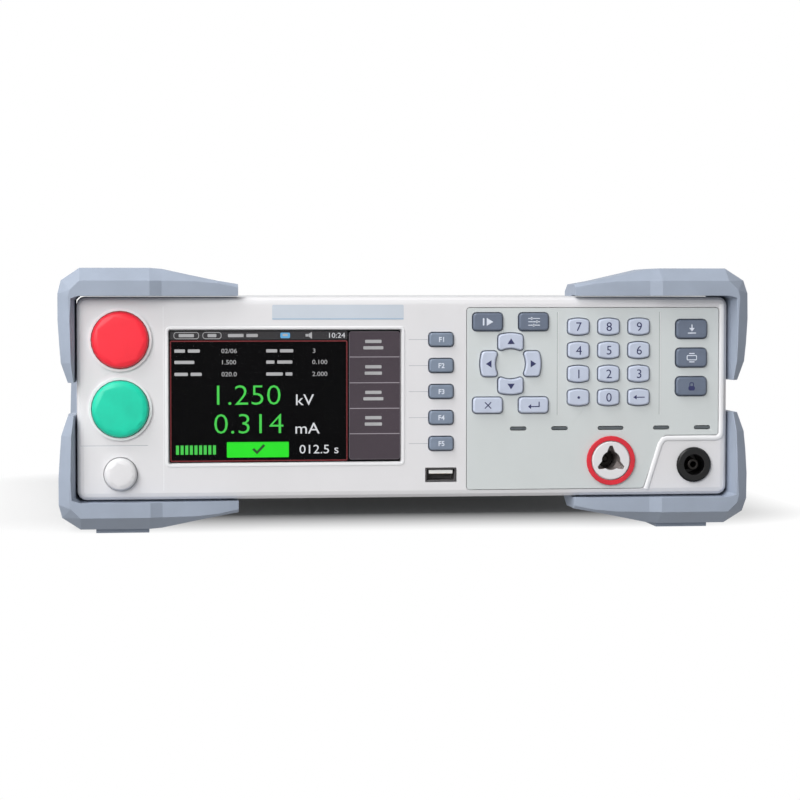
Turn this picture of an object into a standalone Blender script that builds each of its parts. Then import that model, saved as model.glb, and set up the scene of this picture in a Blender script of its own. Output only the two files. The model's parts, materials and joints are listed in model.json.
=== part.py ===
"""Bench high-voltage withstand tester in a low metal case with corner guards.

Units are metres. +Z is up, the front panel faces -Y and the feet stand on z = 0.
Front panel pieces hang on an empty at the middle of the panel's face, so that their
x and z are distances from the panel's centre and their y is the depth behind its face.
"""
import math

import bmesh
import bpy
from mathutils import Vector

# Clearance between neighbouring pieces
CLEARANCE = 0.0003

# Panel layout, left to right
BUTTON_DIAMETER = 0.0246
BUTTON_COLUMN_MARGIN = 0.0063
WINDOW_GAP_LEFT = 0.0024
WINDOW_WIDTH = 0.1012
WINDOW_GAP_RIGHT = 0.0123
SOFT_KEY_WIDTH = 0.0105
SOFT_KEY_GAP_RIGHT = 0.0062
NAVIGATION_GROUP_WIDTH = 0.0403
NUMBER_GROUP_WIDTH = 0.0457
SIDE_GROUP_WIDTH = 0.0269
PLATE_MARGIN_RIGHT = 0.0043

# Panel layout, top to bottom
PLATE_MARGIN_TOP = 0.0049
KEY_FIELD_HEIGHT = 0.0491
INDICATOR_BAND_HEIGHT = 0.008
TERMINAL_BAND_HEIGHT = 0.0227
PLATE_MARGIN_BOTTOM = 0.0033

# Case
BODY_DEPTH = 0.370
BODY_CORNER_RADIUS = 0.003
SHEET = 0.0012
REAR_PANEL_THICKNESS = 0.002
TRAY_WALL_HEIGHT = 0.024
TRAY_LIP_HEIGHT = 0.010
COVER_TAB_HEIGHT = 0.0115
COVER_TAB_WIDTH = 0.013

# Corner guards and their feet
GUARD_HEIGHT = 0.0125
GUARD_WIDTH = 0.0079
GUARD_PROJECTION = 0.0075
GUARD_COVERAGE = 0.036
GUARD_ARM_LENGTH = 0.0695
GUARD_ARM_GAP = 0.0142
REAR_GUARD_TOP_GAP = 0.008
GUARD_GAP = 0.001
GUARD_INNER_SLOPE = 0.006
GUARD_FACE_START = 0.0004
GUARD_FACE_WIDTH = 0.0066
GUARD_SLOPE_DEPTH = 0.008
GUARD_SETBACK = 0.0052
GUARD_SHORTFALL = 0.014
GUARD_RIDGE = 0.0027
GUARD_RIDGE_WIDTH = 0.0003
GUARD_CORNER_EASE = 0.0014
GUARD_BEVEL_SHARE = 0.57
GUARD_BACK_DEPTH = 0.006
GUARD_BACK_SLOPE = 0.003
GUARD_BACK_LEAST = 0.002
GUARD_SEAT_DEPTH = 0.008
FOOT_HEIGHT = 0.0021
FOOT_LENGTH = 0.023
FOOT_INSET = 0.008
FOOT_FROM_CASE_END = 0.0055
FOOT_FROM_GUARD_END = 0.010

# Stations along a guard's level arm, each a row of shares: of the arm's length, the guard's height,
# the front face's width, the depth of the slope outside it, the setback of the face, and the
# shortfall at the back
GUARD_LEVEL_STATIONS = (
    (1.0, 0.44, 0.57, 0.15, 1.0, 1.0),
    (0.87, 0.56, 0.83, 0.20, 0.65, 0.79),
    (0.74, 0.71, 0.96, 0.44, 0.54, 0.57),
    (0.525, 0.97, 1.0, 0.875, 0.385, 0.21),
    (0.45, 1.0, 1.0, 1.0, 0.0, 0.0),
)
# Stations round the corner, as shares: how far the front face's inner edge has gone over to the
# ridge, the part of the thickness where its outer edge lies, and the depth of the slope outside it
GUARD_CORNER_STATIONS = ((0.0, 0.56, 1.0), (0.35, 0.48, 0.75), (0.89, 0.45, 0.5))
# Stations down the upright arm, as shares: of the arm, the guard's width, the depth of the outer
# slope, the setback of the ridge, and the shortfall at the back
GUARD_UPRIGHT_STATIONS = (
    (0.27, 1.0, 0.44, 0.0, 0.0),
    (0.56, 0.915, 0.44, 0.0, 0.0),
    (0.77, 0.84, 0.44, 0.15, 0.29),
    (1.0, 0.47, 0.25, 0.58, 0.86),
)

# Bezel
BEZEL_DEPTH = 0.024
BEZEL_FACE = 0.003
BEZEL_WALL = 0.0025
BEZEL_EDGE_RADIUS = 0.003
BEZEL_CORNER_RADIUS = 0.004
COLLAR_WIDTH = 0.0011
COLLAR_HEIGHT = 0.0012

# Display
WINDOW_HEIGHT = 0.0578
WINDOW_RISE = 0.0007
WINDOW_THICKNESS = 0.0015
WINDOW_LEDGE = 0.002
MODULE_MARGIN = 0.003
MODULE_THICKNESS = 0.008
DISPLAY_BOARD_THICKNESS = 0.0016

# Control plate
PLATE_THICKNESS = 0.0012
PLATE_CORNER_RADIUS = 0.0012
PLATE_LEDGE = 0.0016
NOTCH_WIDTH = 0.0239
NOTCH_HEIGHT = 0.0234
NOTCH_SLOPE = 0.010
NOTCH_CORNER = 0.0026

# Keys
KEY_TRAVEL = 0.001
KEY_RISE = 0.0018
KEY_EDGE = 0.0005
KEY_LIP = 0.0007
KEY_FLANGE = 0.001
SOFT_KEY_HEIGHT = 0.0058
SOFT_KEY_GAP = 0.0056
SOFT_KEY_RISE = 0.0025
SOFT_KEY_COUNT = 5
SOFT_KEY_CORNER = 0.0013
WIDE_KEY_WIDTH = 0.0130
WIDE_KEY_HEIGHT = 0.0076
WIDE_KEY_SPAN = 0.0204
WIDE_KEY_CORNER = 0.0015
ENTRY_KEY_HEIGHT = 0.0068
TOP_ROW_DROP = 0.0061
NAVIGATION_SHIFT = 0.0008
NAVIGATION_REACH = 0.0130
NAVIGATION_INNER = 0.006
NAVIGATION_KEY_WIDTH = 0.0110
NAVIGATION_HOLLOW = 0.0009
NAVIGATION_GAP_TOP = 0.00165
NAVIGATION_GAP_BOTTOM = 0.0018
NAVIGATION_CORNER_OUTER = 0.0016
NAVIGATION_CORNER_INNER = 0.0013
NUMBER_KEY_WIDTH = 0.0093
NUMBER_KEY_HEIGHT = 0.0063
NUMBER_KEY_CORNER = 0.0013
NUMBER_GAP_X = 0.00425
NUMBER_GAP_Z = 0.0041
NUMBER_ROW_DROP = 0.0083
SIDE_KEY_WIDTH = 0.0137
SIDE_KEY_HEIGHT = 0.0081
SIDE_KEY_CORNER = 0.0017
SIDE_KEY_GAP = 0.0046
SIDE_KEY_DROP = 0.0094
SIDE_KEY_SHIFT = 0.001
KEY_BOW = 0.00045
KEY_BOW_STEPS = 4
KEY_CORNER_STEPS = 3

# Push buttons
BUTTON_GAP = 0.0052
BUTTON_RISE = 0.004
BUTTON_TRAVEL = 0.0025
BUTTON_LIP = 0.0012
BUTTON_FLANGE = 0.0015
BUTTON_FACE_INSET = 0.0022
BUTTON_ROUNDING = 0.0018
BUTTON_SEGMENTS = 28
POWER_DIAMETER = 0.0142
POWER_BOTTOM_GAP = 0.0043
SWITCH_SIZE = 0.012

# Rubber mat and circuit boards behind the panel
MAT_THICKNESS = 0.001
MAT_MARGIN = 0.0015
BOARD_THICKNESS = 0.0016

# Indicators
INDICATOR_HEIGHT = 0.0012
INDICATOR_ROUNDING = 0.0005
INDICATOR_WIDTH = 0.0068
INDICATOR_WIDTH_MIDDLE = 0.011
INDICATOR_STEP_INNER = 0.0229
INDICATOR_STEP_OUTER = 0.0414
INDICATOR_DROP = 0.004
INDICATOR_RAIL_HEIGHT = 0.0024
INDICATOR_RAIL_THICKNESS = 0.0015

# High-voltage socket
HV_FLANGE_RADIUS = 0.0085
HV_FLANGE_THICKNESS = 0.0012
HV_FLANGE_EDGE = 0.0004
HV_RING_WIDTH = 0.0021
HV_RING_THICKNESS = 0.001
HV_BODY_RADIUS = 0.0078
HV_BODY_DEPTH = 0.021
HV_WELL_RADIUS = 0.0042
HV_WELL_DEPTH = 0.016
HV_LOBE_RADIUS = 0.0012
HV_LOBE_REACH = 0.0054
HV_LOBE_DEPTH = 0.006
HV_LOBE_ROOT = 0.00315
HV_PIN_RADIUS = 0.0016
HV_PIN_RISE = 0.004
HV_PIN_EDGE = 0.0005
HV_PIN_COLLAR = 0.0015
HV_DROP = 0.0104
HV_SHIFT = 0.00115

# Return socket
RETURN_RADIUS = 0.0078
RETURN_RISE = 0.0015
RETURN_BODY_RADIUS = 0.0066
RETURN_BODY_DEPTH = 0.018
RETURN_MOUTH_RADIUS = 0.0046
RETURN_MOUTH_DEPTH = 0.012
RETURN_POST_RADIUS = 0.0026
RETURN_POST_BORE = 0.00135
RETURN_POST_SETBACK = 0.002
RETURN_POST_TAIL = 0.004
RETURN_EDGE = 0.0007
RETURN_FROM_SIDE = 0.0154
RETURN_FROM_BOTTOM = 0.0135

# USB socket
USB_WIDTH = 0.0133
USB_HEIGHT = 0.00575
USB_DEPTH = 0.015
USB_SHELL = 0.0004
USB_SLOT_DEPTH = 0.011
USB_TONGUE = 0.0016
USB_TONGUE_WIDTH = 0.0105
USB_FROM_BOTTOM = 0.0099

# Fan
FAN_SIZE = 0.060
FAN_DEPTH = 0.025
FAN_WALL = 0.0018
FAN_TIP_GAP = 0.0008
FAN_HUB_RADIUS = 0.0135
FAN_HUB_DEPTH = 0.017
FAN_MOTOR_DEPTH = 0.004
FAN_BLADES = 7
FAN_BLADE_THICKNESS = 0.0014
FAN_BLADE_CHORD = 0.017
FAN_BLADE_PITCH = 38.0
FAN_BLADE_TWIST = 8.0
FAN_ROOT_DEPTH = 0.002
FAN_HUB_EDGE = 0.0015
FAN_STRUT_WIDTH = 0.003
FAN_STRUT_INSET = 0.0005
FAN_CORNER = 0.004
FAN_FROM_SIDE = 0.055
GRILLE_SLOT = 0.0036
GRILLE_BAR = 0.0024

# Mains inlet
INLET_FLANGE_WIDTH = 0.048
INLET_FLANGE_HEIGHT = 0.025
INLET_FLANGE_THICKNESS = 0.0022
INLET_BODY_WIDTH = 0.0276
INLET_BODY_HEIGHT = 0.0202
INLET_BODY_DEPTH = 0.024
INLET_MOUTH_WIDTH = 0.0242
INLET_MOUTH_HEIGHT = 0.0166
INLET_MOUTH_DEPTH = 0.016
INLET_PIN_WIDTH = 0.002
INLET_PIN_HEIGHT = 0.004
INLET_PIN_SPACING = 0.014
INLET_PIN_LENGTH = 0.013
INLET_PIN_ROOT = 0.001
INLET_CORNER = 0.003
INLET_FROM_SIDE = 0.040
INLET_FROM_BOTTOM = 0.022

# Rear connectors
SERIAL_FLANGE_WIDTH = 0.0308
SERIAL_FLANGE_HEIGHT = 0.0125
SERIAL_SHELL_WIDTH = 0.0175
SERIAL_SHELL_HEIGHT = 0.0085
SERIAL_FLANGE_THICKNESS = 0.0008
SERIAL_RISE = 0.0055
NETWORK_WIDTH = 0.0162
NETWORK_HEIGHT = 0.0136
NETWORK_RISE = 0.001
NETWORK_MOUTH_WIDTH = 0.0118
NETWORK_MOUTH_HEIGHT = 0.0082
NETWORK_MOUTH_DEPTH = 0.012
TERMINAL_BLOCK_WIDTH = 0.044
TERMINAL_BLOCK_HEIGHT = 0.0112
TERMINAL_BLOCK_RISE = 0.0045
TERMINAL_WAYS = 9
TERMINAL_HOLE = 0.0028
TERMINAL_HOLE_DEPTH = 0.004
CONNECTOR_GAP = 0.012
INTERFACE_DEPTH = 0.014
INTERFACE_MARGIN = 0.005
EARTH_POST_RADIUS = 0.002
EARTH_NUT_RADIUS = 0.0045
EARTH_NUT_HEIGHT = 0.0032
EARTH_POST_LENGTH = 0.006
CONNECTOR_RAIL_RISE = 0.004

# Power electronics on the chassis
STANDOFF_HEIGHT = 0.008
STANDOFF_RADIUS = 0.0035
MAIN_BOARD_WIDTH = 0.150
MAIN_BOARD_LENGTH = 0.250
MAIN_BOARD_SIDE_GAP = 0.010
HEAT_SINK_WIDTH = 0.090
HEAT_SINK_LENGTH = 0.050
HEAT_SINK_HEIGHT = 0.032
HEAT_SINK_BASE = 0.006
HEAT_SINK_FINS = 5
HEAT_SINK_FIN = 0.003
HEAT_SINK_SETBACK = 0.015
RELAY_WIDTH = 0.018
RELAY_LENGTH = 0.030
RELAY_HEIGHT = 0.016
RELAY_SPACING = 0.030
RELAY_COUNT = 3
RELAY_FROM_END = 0.030
CAPACITOR_RADIUS = 0.009
CAPACITOR_HEIGHT = 0.030
CAPACITOR_SPACING = 0.030
CAPACITOR_COUNT = 2
CAPACITOR_FROM_END = 0.035
HV_CORE_WIDTH = 0.072
HV_CORE_HEIGHT = 0.060
HV_CORE_STACK = 0.038
HV_COIL_OVERHANG = 0.016
MAINS_CORE_WIDTH = 0.066
MAINS_CORE_HEIGHT = 0.055
MAINS_CORE_STACK = 0.032
MAINS_COIL_OVERHANG = 0.013
TRANSFORMER_FROM_SIDE = 0.062
TRANSFORMER_SPACING = 0.140
TRANSFORMER_FOOT = 0.002
TRANSFORMER_FOOT_OVERHANG = 0.010
COIL_SIDE_MARGIN = 0.013
COIL_END_MARGIN = 0.010
COIL_CORNER = 0.005

# Screw holes and vents
SCREW_HOLE_RADIUS = 0.0017
SCREW_SEGMENTS = 10
SIDE_SCREW_SPACING = 0.150
REAR_SCREW_INSET = 0.0075
VENT_WIDTH = 0.003
VENT_HEIGHT = 0.018
VENT_PITCH = 0.0075
VENT_COUNT = 12
VENT_ROWS = 2
VENT_ROW_GAP = 0.006
VENT_FROM_FRONT = 0.080

# Worked out from the driving dimensions
BUTTON_COLUMN_WIDTH = BUTTON_DIAMETER + 2 * BUTTON_COLUMN_MARGIN
PLATE_WIDTH = NAVIGATION_GROUP_WIDTH + NUMBER_GROUP_WIDTH + SIDE_GROUP_WIDTH
PLATE_HEIGHT = KEY_FIELD_HEIGHT + INDICATOR_BAND_HEIGHT + TERMINAL_BAND_HEIGHT
BODY_WIDTH = (BUTTON_COLUMN_WIDTH + WINDOW_GAP_LEFT + WINDOW_WIDTH + WINDOW_GAP_RIGHT
              + SOFT_KEY_WIDTH + SOFT_KEY_GAP_RIGHT + PLATE_WIDTH + PLATE_MARGIN_RIGHT)
BODY_HEIGHT = PLATE_MARGIN_TOP + PLATE_HEIGHT + PLATE_MARGIN_BOTTOM
HALF_WIDTH = BODY_WIDTH / 2
HALF_HEIGHT = BODY_HEIGHT / 2
FRONT_Y = -BODY_DEPTH / 2
REAR_Y = BODY_DEPTH / 2
BODY_BOTTOM = FOOT_HEIGHT + GUARD_HEIGHT
BODY_TOP = BODY_BOTTOM + BODY_HEIGHT
CENTRE_Z = BODY_BOTTOM + HALF_HEIGHT
FRONT_UPRIGHT_LENGTH = HALF_HEIGHT - GUARD_ARM_GAP / 2
REAR_UPRIGHT_LENGTH = BODY_HEIGHT - REAR_GUARD_TOP_GAP

BUTTON_RADIUS = BUTTON_DIAMETER / 2
POWER_RADIUS = POWER_DIAMETER / 2
BUTTON_X = -HALF_WIDTH + BUTTON_COLUMN_WIDTH / 2
STOP_Z = HALF_HEIGHT - BUTTON_COLUMN_MARGIN - BUTTON_RADIUS
START_Z = STOP_Z - BUTTON_DIAMETER - BUTTON_GAP
POWER_Z = -HALF_HEIGHT + POWER_BOTTOM_GAP + POWER_RADIUS
WINDOW_X = -HALF_WIDTH + BUTTON_COLUMN_WIDTH + WINDOW_GAP_LEFT + WINDOW_WIDTH / 2
SOFT_KEY_X = WINDOW_X + WINDOW_WIDTH / 2 + WINDOW_GAP_RIGHT + SOFT_KEY_WIDTH / 2
SOFT_KEY_PITCH = SOFT_KEY_HEIGHT + SOFT_KEY_GAP
PLATE_RIGHT = HALF_WIDTH - PLATE_MARGIN_RIGHT
PLATE_LEFT = PLATE_RIGHT - PLATE_WIDTH
PLATE_TOP = HALF_HEIGHT - PLATE_MARGIN_TOP
PLATE_BOTTOM = -HALF_HEIGHT + PLATE_MARGIN_BOTTOM
KEY_FIELD_BOTTOM = PLATE_TOP - KEY_FIELD_HEIGHT
NAVIGATION_X = PLATE_LEFT + NAVIGATION_GROUP_WIDTH / 2 - NAVIGATION_SHIFT
NUMBER_X = PLATE_LEFT + NAVIGATION_GROUP_WIDTH + NUMBER_GROUP_WIDTH / 2
SIDE_KEY_X = PLATE_RIGHT - SIDE_GROUP_WIDTH / 2 + SIDE_KEY_SHIFT
TOP_ROW_Z = PLATE_TOP - TOP_ROW_DROP
NAVIGATION_Z = TOP_ROW_Z - WIDE_KEY_HEIGHT / 2 - NAVIGATION_GAP_TOP - NAVIGATION_REACH
ENTRY_ROW_Z = NAVIGATION_Z - NAVIGATION_REACH - NAVIGATION_GAP_BOTTOM - ENTRY_KEY_HEIGHT / 2
INDICATOR_Z = KEY_FIELD_BOTTOM - INDICATOR_DROP
HV_X = NUMBER_X + HV_SHIFT
HV_Z = KEY_FIELD_BOTTOM - INDICATOR_BAND_HEIGHT - HV_DROP
RETURN_X = HALF_WIDTH - RETURN_FROM_SIDE
RETURN_Z = -HALF_HEIGHT + RETURN_FROM_BOTTOM
USB_Z = -HALF_HEIGHT + USB_FROM_BOTTOM

# Depths behind the panel's face
PLATE_SEAT = PLATE_THICKNESS + CLEARANCE
MAT_FRONT = BEZEL_FACE + CLEARANCE + KEY_FLANGE + KEY_TRAVEL + CLEARANCE
KEY_BACK = MAT_FRONT - CLEARANCE - KEY_TRAVEL
KEY_BOARD_FRONT = MAT_FRONT + MAT_THICKNESS + CLEARANCE
BUTTON_BACK = BEZEL_FACE + CLEARANCE + BUTTON_FLANGE
SWITCH_FRONT = BUTTON_BACK + BUTTON_TRAVEL + CLEARANCE
MODULE_FRONT = BEZEL_FACE + CLEARANCE
DISPLAY_BOARD_FRONT = MODULE_FRONT + MODULE_THICKNESS

# Places inside and behind the case
CASE_START = FRONT_Y + BEZEL_DEPTH + CLEARANCE
PANEL_INNER_Y = REAR_Y - REAR_PANEL_THICKNESS
CASE_END = PANEL_INNER_Y - CLEARANCE
TRAY_HALF_WIDTH = HALF_WIDTH - SHEET - CLEARANCE
FLOOR_TOP = BODY_BOTTOM + SHEET
FAN_BORE_RADIUS = FAN_SIZE / 2 - FAN_WALL
FAN_X = HALF_WIDTH - FAN_FROM_SIDE
FAN_BACK = PANEL_INNER_Y - CLEARANCE
FAN_FRONT = FAN_BACK - FAN_DEPTH
INLET_X = -HALF_WIDTH + INLET_FROM_SIDE
INLET_Z = BODY_BOTTOM + INLET_FROM_BOTTOM
RAIL_Z = CENTRE_Z + CONNECTOR_RAIL_RISE
SIDE_SCREW_Z = BODY_BOTTOM + TRAY_WALL_HEIGHT / 2
SIDE_SCREW_PLACES = [-SIDE_SCREW_SPACING / 2, SIDE_SCREW_SPACING / 2]

WHITE_PLASTIC = ((0.80, 0.80, 0.81), 0.45, 0.0)
PALE_KEY = ((0.82, 0.83, 0.88), 0.5, 0.0)
GREY_KEY = ((0.30, 0.33, 0.40), 0.5, 0.0)
BLUE_GREY_KEY = ((0.38, 0.44, 0.55), 0.5, 0.0)
GUARD_RUBBER = ((0.44, 0.48, 0.54), 0.7, 0.0)
SHEET_METAL = ((0.62, 0.63, 0.64), 0.4, 0.8)
PAINTED_STEEL = ((0.72, 0.73, 0.74), 0.5, 0.0)
BLACK_PLASTIC = ((0.03, 0.03, 0.035), 0.4, 0.0)
CIRCUIT_BOARD = ((0.03, 0.22, 0.10), 0.6, 0.0)


def clear_scene():
    """Remove every object that the scene starts with."""
    for scene_object in list(bpy.data.objects):
        bpy.data.objects.remove(scene_object, do_unlink=True)


def make_material(name, finish):
    """Make one Principled material from a colour, a roughness and a metallic value."""
    colour, roughness, metallic = finish
    material = bpy.data.materials.new(name)
    material.use_nodes = True
    shader = material.node_tree.nodes["Principled BSDF"]
    shader.inputs["Base Color"].default_value = (*colour, 1.0)
    shader.inputs["Roughness"].default_value = roughness
    shader.inputs["Metallic"].default_value = metallic
    material.diffuse_color = (*colour, 1.0)
    return material


def add_object(name, shape, finish=None, location=(0.0, 0.0, 0.0), parent=None, smooth=False):
    """Turn a bmesh into a named object with its own material."""
    bmesh.ops.recalc_face_normals(shape, faces=shape.faces)
    mesh = bpy.data.meshes.new(name)
    shape.to_mesh(mesh)
    shape.free()
    if smooth:
        mesh.shade_smooth()
        mesh.set_sharp_from_angle(angle=math.radians(35))
    part = bpy.data.objects.new(name, mesh)
    bpy.context.scene.collection.objects.link(part)
    part.location = location
    part.parent = parent
    if finish:
        mesh.materials.append(make_material(name, finish))
    return part


def add_empty(name, location):
    """Add an empty that other pieces are placed from."""
    empty = bpy.data.objects.new(name, None)
    empty.location = location
    bpy.context.scene.collection.objects.link(empty)
    return empty


def combine(target, tool, operation):
    """Join a tool shape to a piece, or cut it away, with an exact Boolean."""
    tool.hide_render = True
    tool.display_type = 'WIRE'
    modifier = target.modifiers.new(tool.name, 'BOOLEAN')
    modifier.operation = operation
    modifier.solver = 'EXACT'
    modifier.object = tool


def loft(shape, sections, closed=False):
    """Skin sections that have the same number of points; cap the ends unless it closes on itself."""
    rings = [[shape.verts.new(point) for point in section] for section in sections]
    count = len(rings[0])
    pairs = list(zip(rings, rings[1:]))
    if closed:
        pairs.append((rings[-1], rings[0]))
    for near, far in pairs:
        for i in range(count):
            j = (i + 1) % count
            shape.faces.new((near[i], near[j], far[j], far[i]))
    if not closed:
        shape.faces.new(rings[0])
        shape.faces.new(list(reversed(rings[-1])))
    return shape


def at_depth(outline, depth, centre=(0.0, 0.0)):
    """Place an (x, z) outline at a depth along Y."""
    return [(x + centre[0], depth, z + centre[1]) for x, z in outline]


def prism(shape, outline, near, far, centre=(0.0, 0.0)):
    """Extrude an (x, z) outline along Y."""
    return loft(shape, [at_depth(outline, near, centre), at_depth(outline, far, centre)])


def block(shape, low, high):
    """Add a box between two corners."""
    outline = [(low[0], low[2]), (high[0], low[2]), (high[0], high[2]), (low[0], high[2])]
    return prism(shape, outline, low[1], high[1])


def circle(radius, segments, turn=0.0):
    """Points of a circle in x and z."""
    steps = [turn + 2 * math.pi * i / segments for i in range(segments)]
    return [(radius * math.cos(angle), radius * math.sin(angle)) for angle in steps]


def turned(shape, profile, segments, centre=(0.0, 0.0), ring=False, turn=0.0):
    """Turn (depth, radius) pairs about the Y direction; a ring's profile closes on itself."""
    sections = [at_depth(circle(radius, segments, turn), depth, centre) for depth, radius in profile]
    return loft(shape, sections, closed=ring)


def rounded_outline(points, radius, steps=3):
    """Round every corner of an outline with an arc of a few steps."""
    outline = []
    for i, corner in enumerate(points):
        corner = Vector(corner)
        before = (Vector(points[i - 1]) - corner).normalized()
        after = (Vector(points[(i + 1) % len(points)]) - corner).normalized()
        half_angle = math.acos(max(-1.0, min(1.0, before.dot(after)))) / 2
        reach = radius / math.tan(half_angle)
        centre = corner + (before + after).normalized() * (radius / math.sin(half_angle))
        start = corner + before * reach - centre
        end = corner + after * reach - centre
        for step in range(steps + 1):
            spread = start.lerp(end, step / steps)
            point = centre + spread.normalized() * radius
            outline.append((point.x, point.y))
    return outline


def rectangle(width, height):
    """Corners of a rectangle about the origin, in x and z."""
    x, z = width / 2, height / 2
    return [(-x, -z), (x, -z), (x, z), (-x, z)]


def offset(outline, distance):
    """Move every side of an outline outwards by a distance, which may be negative."""
    area = sum(a[0] * b[1] - b[0] * a[1] for a, b in zip(outline, outline[1:] + outline[:1]))
    side = 1.0 if area > 0 else -1.0
    moved = []
    for i, point in enumerate(outline):
        before = (Vector(point) - Vector(outline[i - 1])).normalized()
        after = (Vector(outline[(i + 1) % len(outline)]) - Vector(point)).normalized()
        normals = [Vector((edge.y, -edge.x)) * side for edge in (before, after)]
        middle = (normals[0] + normals[1]).normalized()
        reach = distance / max(middle.dot(normals[0]), 0.5)
        moved.append((point[0] + middle.x * reach, point[1] + middle.y * reach))
    return moved


def key_outline(width, height, corners, bows=(0.0, 0.0, 0.0, 0.0)):
    """Rectangle with round corners; its bottom, right, top and left sides may bow outwards.

    The corners are radii, from the lower right one anticlockwise.
    """
    points = [Vector(point) for point in rectangle(width, height)]
    outline = []
    for i, (radius, bow) in enumerate(zip(corners, bows)):
        start, end = points[i], points[(i + 1) % 4]
        along = (end - start).normalized()
        out = Vector((along.y, -along.x))
        first = start + along * corners[i - 1]
        last = end - along * radius
        shares = [step / KEY_BOW_STEPS for step in range(KEY_BOW_STEPS + 1)] if bow else [0.0, 1.0]
        outline += [first.lerp(last, share) + out * bow * 4 * share * (1 - share) for share in shares]
        for step in range(1, KEY_CORNER_STEPS):
            angle = math.pi / 2 * step / KEY_CORNER_STEPS
            outline.append(last + (along * math.sin(angle) - out * (1 - math.cos(angle))) * radius)
    return [tuple(point) for point in outline]


def quarter_turns(point, turns):
    """Turn an (x, z) point anticlockwise about the origin by a number of quarter turns."""
    x, z = point
    for _ in range(turns):
        x, z = -z, x
    return (x, z)


class Key:
    """One push key: where it sits, its outline, and which surface its flange lies behind."""

    def __init__(self, name, x, z, outline, finish, in_plate=True):
        self.name = name
        self.centre = (x, z)
        self.outline = outline
        self.finish = finish
        self.seat = (PLATE_THICKNESS if in_plate else BEZEL_FACE) + CLEARANCE

    def build(self, panel):
        """Cap, flange behind the panel and rear face that meets the mat when it is pressed."""
        flange = offset(self.outline, KEY_LIP)
        sections = [at_depth(offset(self.outline, -KEY_EDGE), -KEY_RISE),
                    at_depth(self.outline, -KEY_RISE + KEY_EDGE),
                    at_depth(self.outline, self.seat),
                    at_depth(flange, self.seat),
                    at_depth(flange, KEY_BACK)]
        shape = loft(bmesh.new(), sections)
        place = (self.centre[0], 0.0, self.centre[1])
        return add_object(self.name, shape, self.finish, place, panel)

    def hole(self, shape, near, far):
        """Add the key's hole, its outline plus clearance, to a cutting shape."""
        return prism(shape, offset(self.outline, CLEARANCE), near, far, self.centre)


def soft_keys():
    """Keys beside the display, from the top down."""
    outline = key_outline(SOFT_KEY_WIDTH, SOFT_KEY_HEIGHT, [SOFT_KEY_CORNER] * 4)
    top = SOFT_KEY_RISE + SOFT_KEY_PITCH * (SOFT_KEY_COUNT - 1) / 2
    return [Key(f"key_f{i + 1}", SOFT_KEY_X, top - i * SOFT_KEY_PITCH, outline, BLUE_GREY_KEY, False)
            for i in range(SOFT_KEY_COUNT)]


def wide_keys():
    """The two keys above the navigation keys and the two below them."""
    grey = key_outline(WIDE_KEY_WIDTH, WIDE_KEY_HEIGHT, [WIDE_KEY_CORNER] * 4)
    pale = key_outline(WIDE_KEY_WIDTH, ENTRY_KEY_HEIGHT, [WIDE_KEY_CORNER] * 4)
    left = NAVIGATION_X - WIDE_KEY_SPAN / 2
    right = NAVIGATION_X + WIDE_KEY_SPAN / 2
    return [Key("key_test", left, TOP_ROW_Z, grey, GREY_KEY),
            Key("key_setup", right, TOP_ROW_Z, grey, GREY_KEY),
            Key("key_esc", left, ENTRY_ROW_Z, pale, PALE_KEY),
            Key("key_enter", right, ENTRY_ROW_Z, pale, PALE_KEY)]


def navigation_keys():
    """Four keys around a bare centre; the side towards the centre is hollowed."""
    middle = (NAVIGATION_REACH + NAVIGATION_INNER) / 2
    radii = (NAVIGATION_CORNER_INNER, NAVIGATION_CORNER_OUTER, NAVIGATION_CORNER_OUTER,
             NAVIGATION_CORNER_INNER)
    outline = key_outline(NAVIGATION_KEY_WIDTH, NAVIGATION_REACH - NAVIGATION_INNER, radii,
                          (-NAVIGATION_HOLLOW, 0.0, KEY_BOW, 0.0))
    keys = []
    for turns, name in enumerate(("up", "left", "down", "right")):
        x, z = quarter_turns((0.0, middle), turns)
        facing = [quarter_turns(point, turns) for point in outline]
        keys.append(Key(f"key_{name}", NAVIGATION_X + x, NAVIGATION_Z + z, facing, PALE_KEY))
    return keys


def number_keys():
    """Number pad, three across and four down."""
    outline = key_outline(NUMBER_KEY_WIDTH, NUMBER_KEY_HEIGHT, [NUMBER_KEY_CORNER] * 4,
                          (KEY_BOW, 0.0, KEY_BOW, 0.0))
    rows = [["7", "8", "9"], ["4", "5", "6"], ["1", "2", "3"], ["point", "0", "backspace"]]
    keys = []
    for row, names in enumerate(rows):
        for column, name in enumerate(names):
            x = NUMBER_X + (column - 1) * (NUMBER_KEY_WIDTH + NUMBER_GAP_X)
            z = PLATE_TOP - NUMBER_ROW_DROP - row * (NUMBER_KEY_HEIGHT + NUMBER_GAP_Z)
            keys.append(Key(f"key_{name}", x, z, outline, PALE_KEY))
    return keys


def side_keys():
    """Three keys at the right of the number pad."""
    outline = key_outline(SIDE_KEY_WIDTH, SIDE_KEY_HEIGHT, [SIDE_KEY_CORNER] * 4)
    top = PLATE_TOP - SIDE_KEY_DROP
    pitch = SIDE_KEY_HEIGHT + SIDE_KEY_GAP
    return [Key(f"key_{name}", SIDE_KEY_X, top - row * pitch, outline, GREY_KEY)
            for row, name in enumerate(("save", "print", "lock"))]


def plate_outline():
    """Control plate: a rectangle with a slanted notch at its lower right."""
    notch_top = PLATE_BOTTOM + NOTCH_HEIGHT
    notch_left = PLATE_RIGHT - NOTCH_WIDTH
    corners = [(PLATE_LEFT, PLATE_BOTTOM), (notch_left - NOTCH_SLOPE, PLATE_BOTTOM),
               (notch_left - NOTCH_CORNER, notch_top - NOTCH_CORNER), (notch_left, notch_top),
               (PLATE_RIGHT, notch_top), (PLATE_RIGHT, PLATE_TOP), (PLATE_LEFT, PLATE_TOP)]
    return rounded_outline(corners, PLATE_CORNER_RADIUS, 2)


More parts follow.
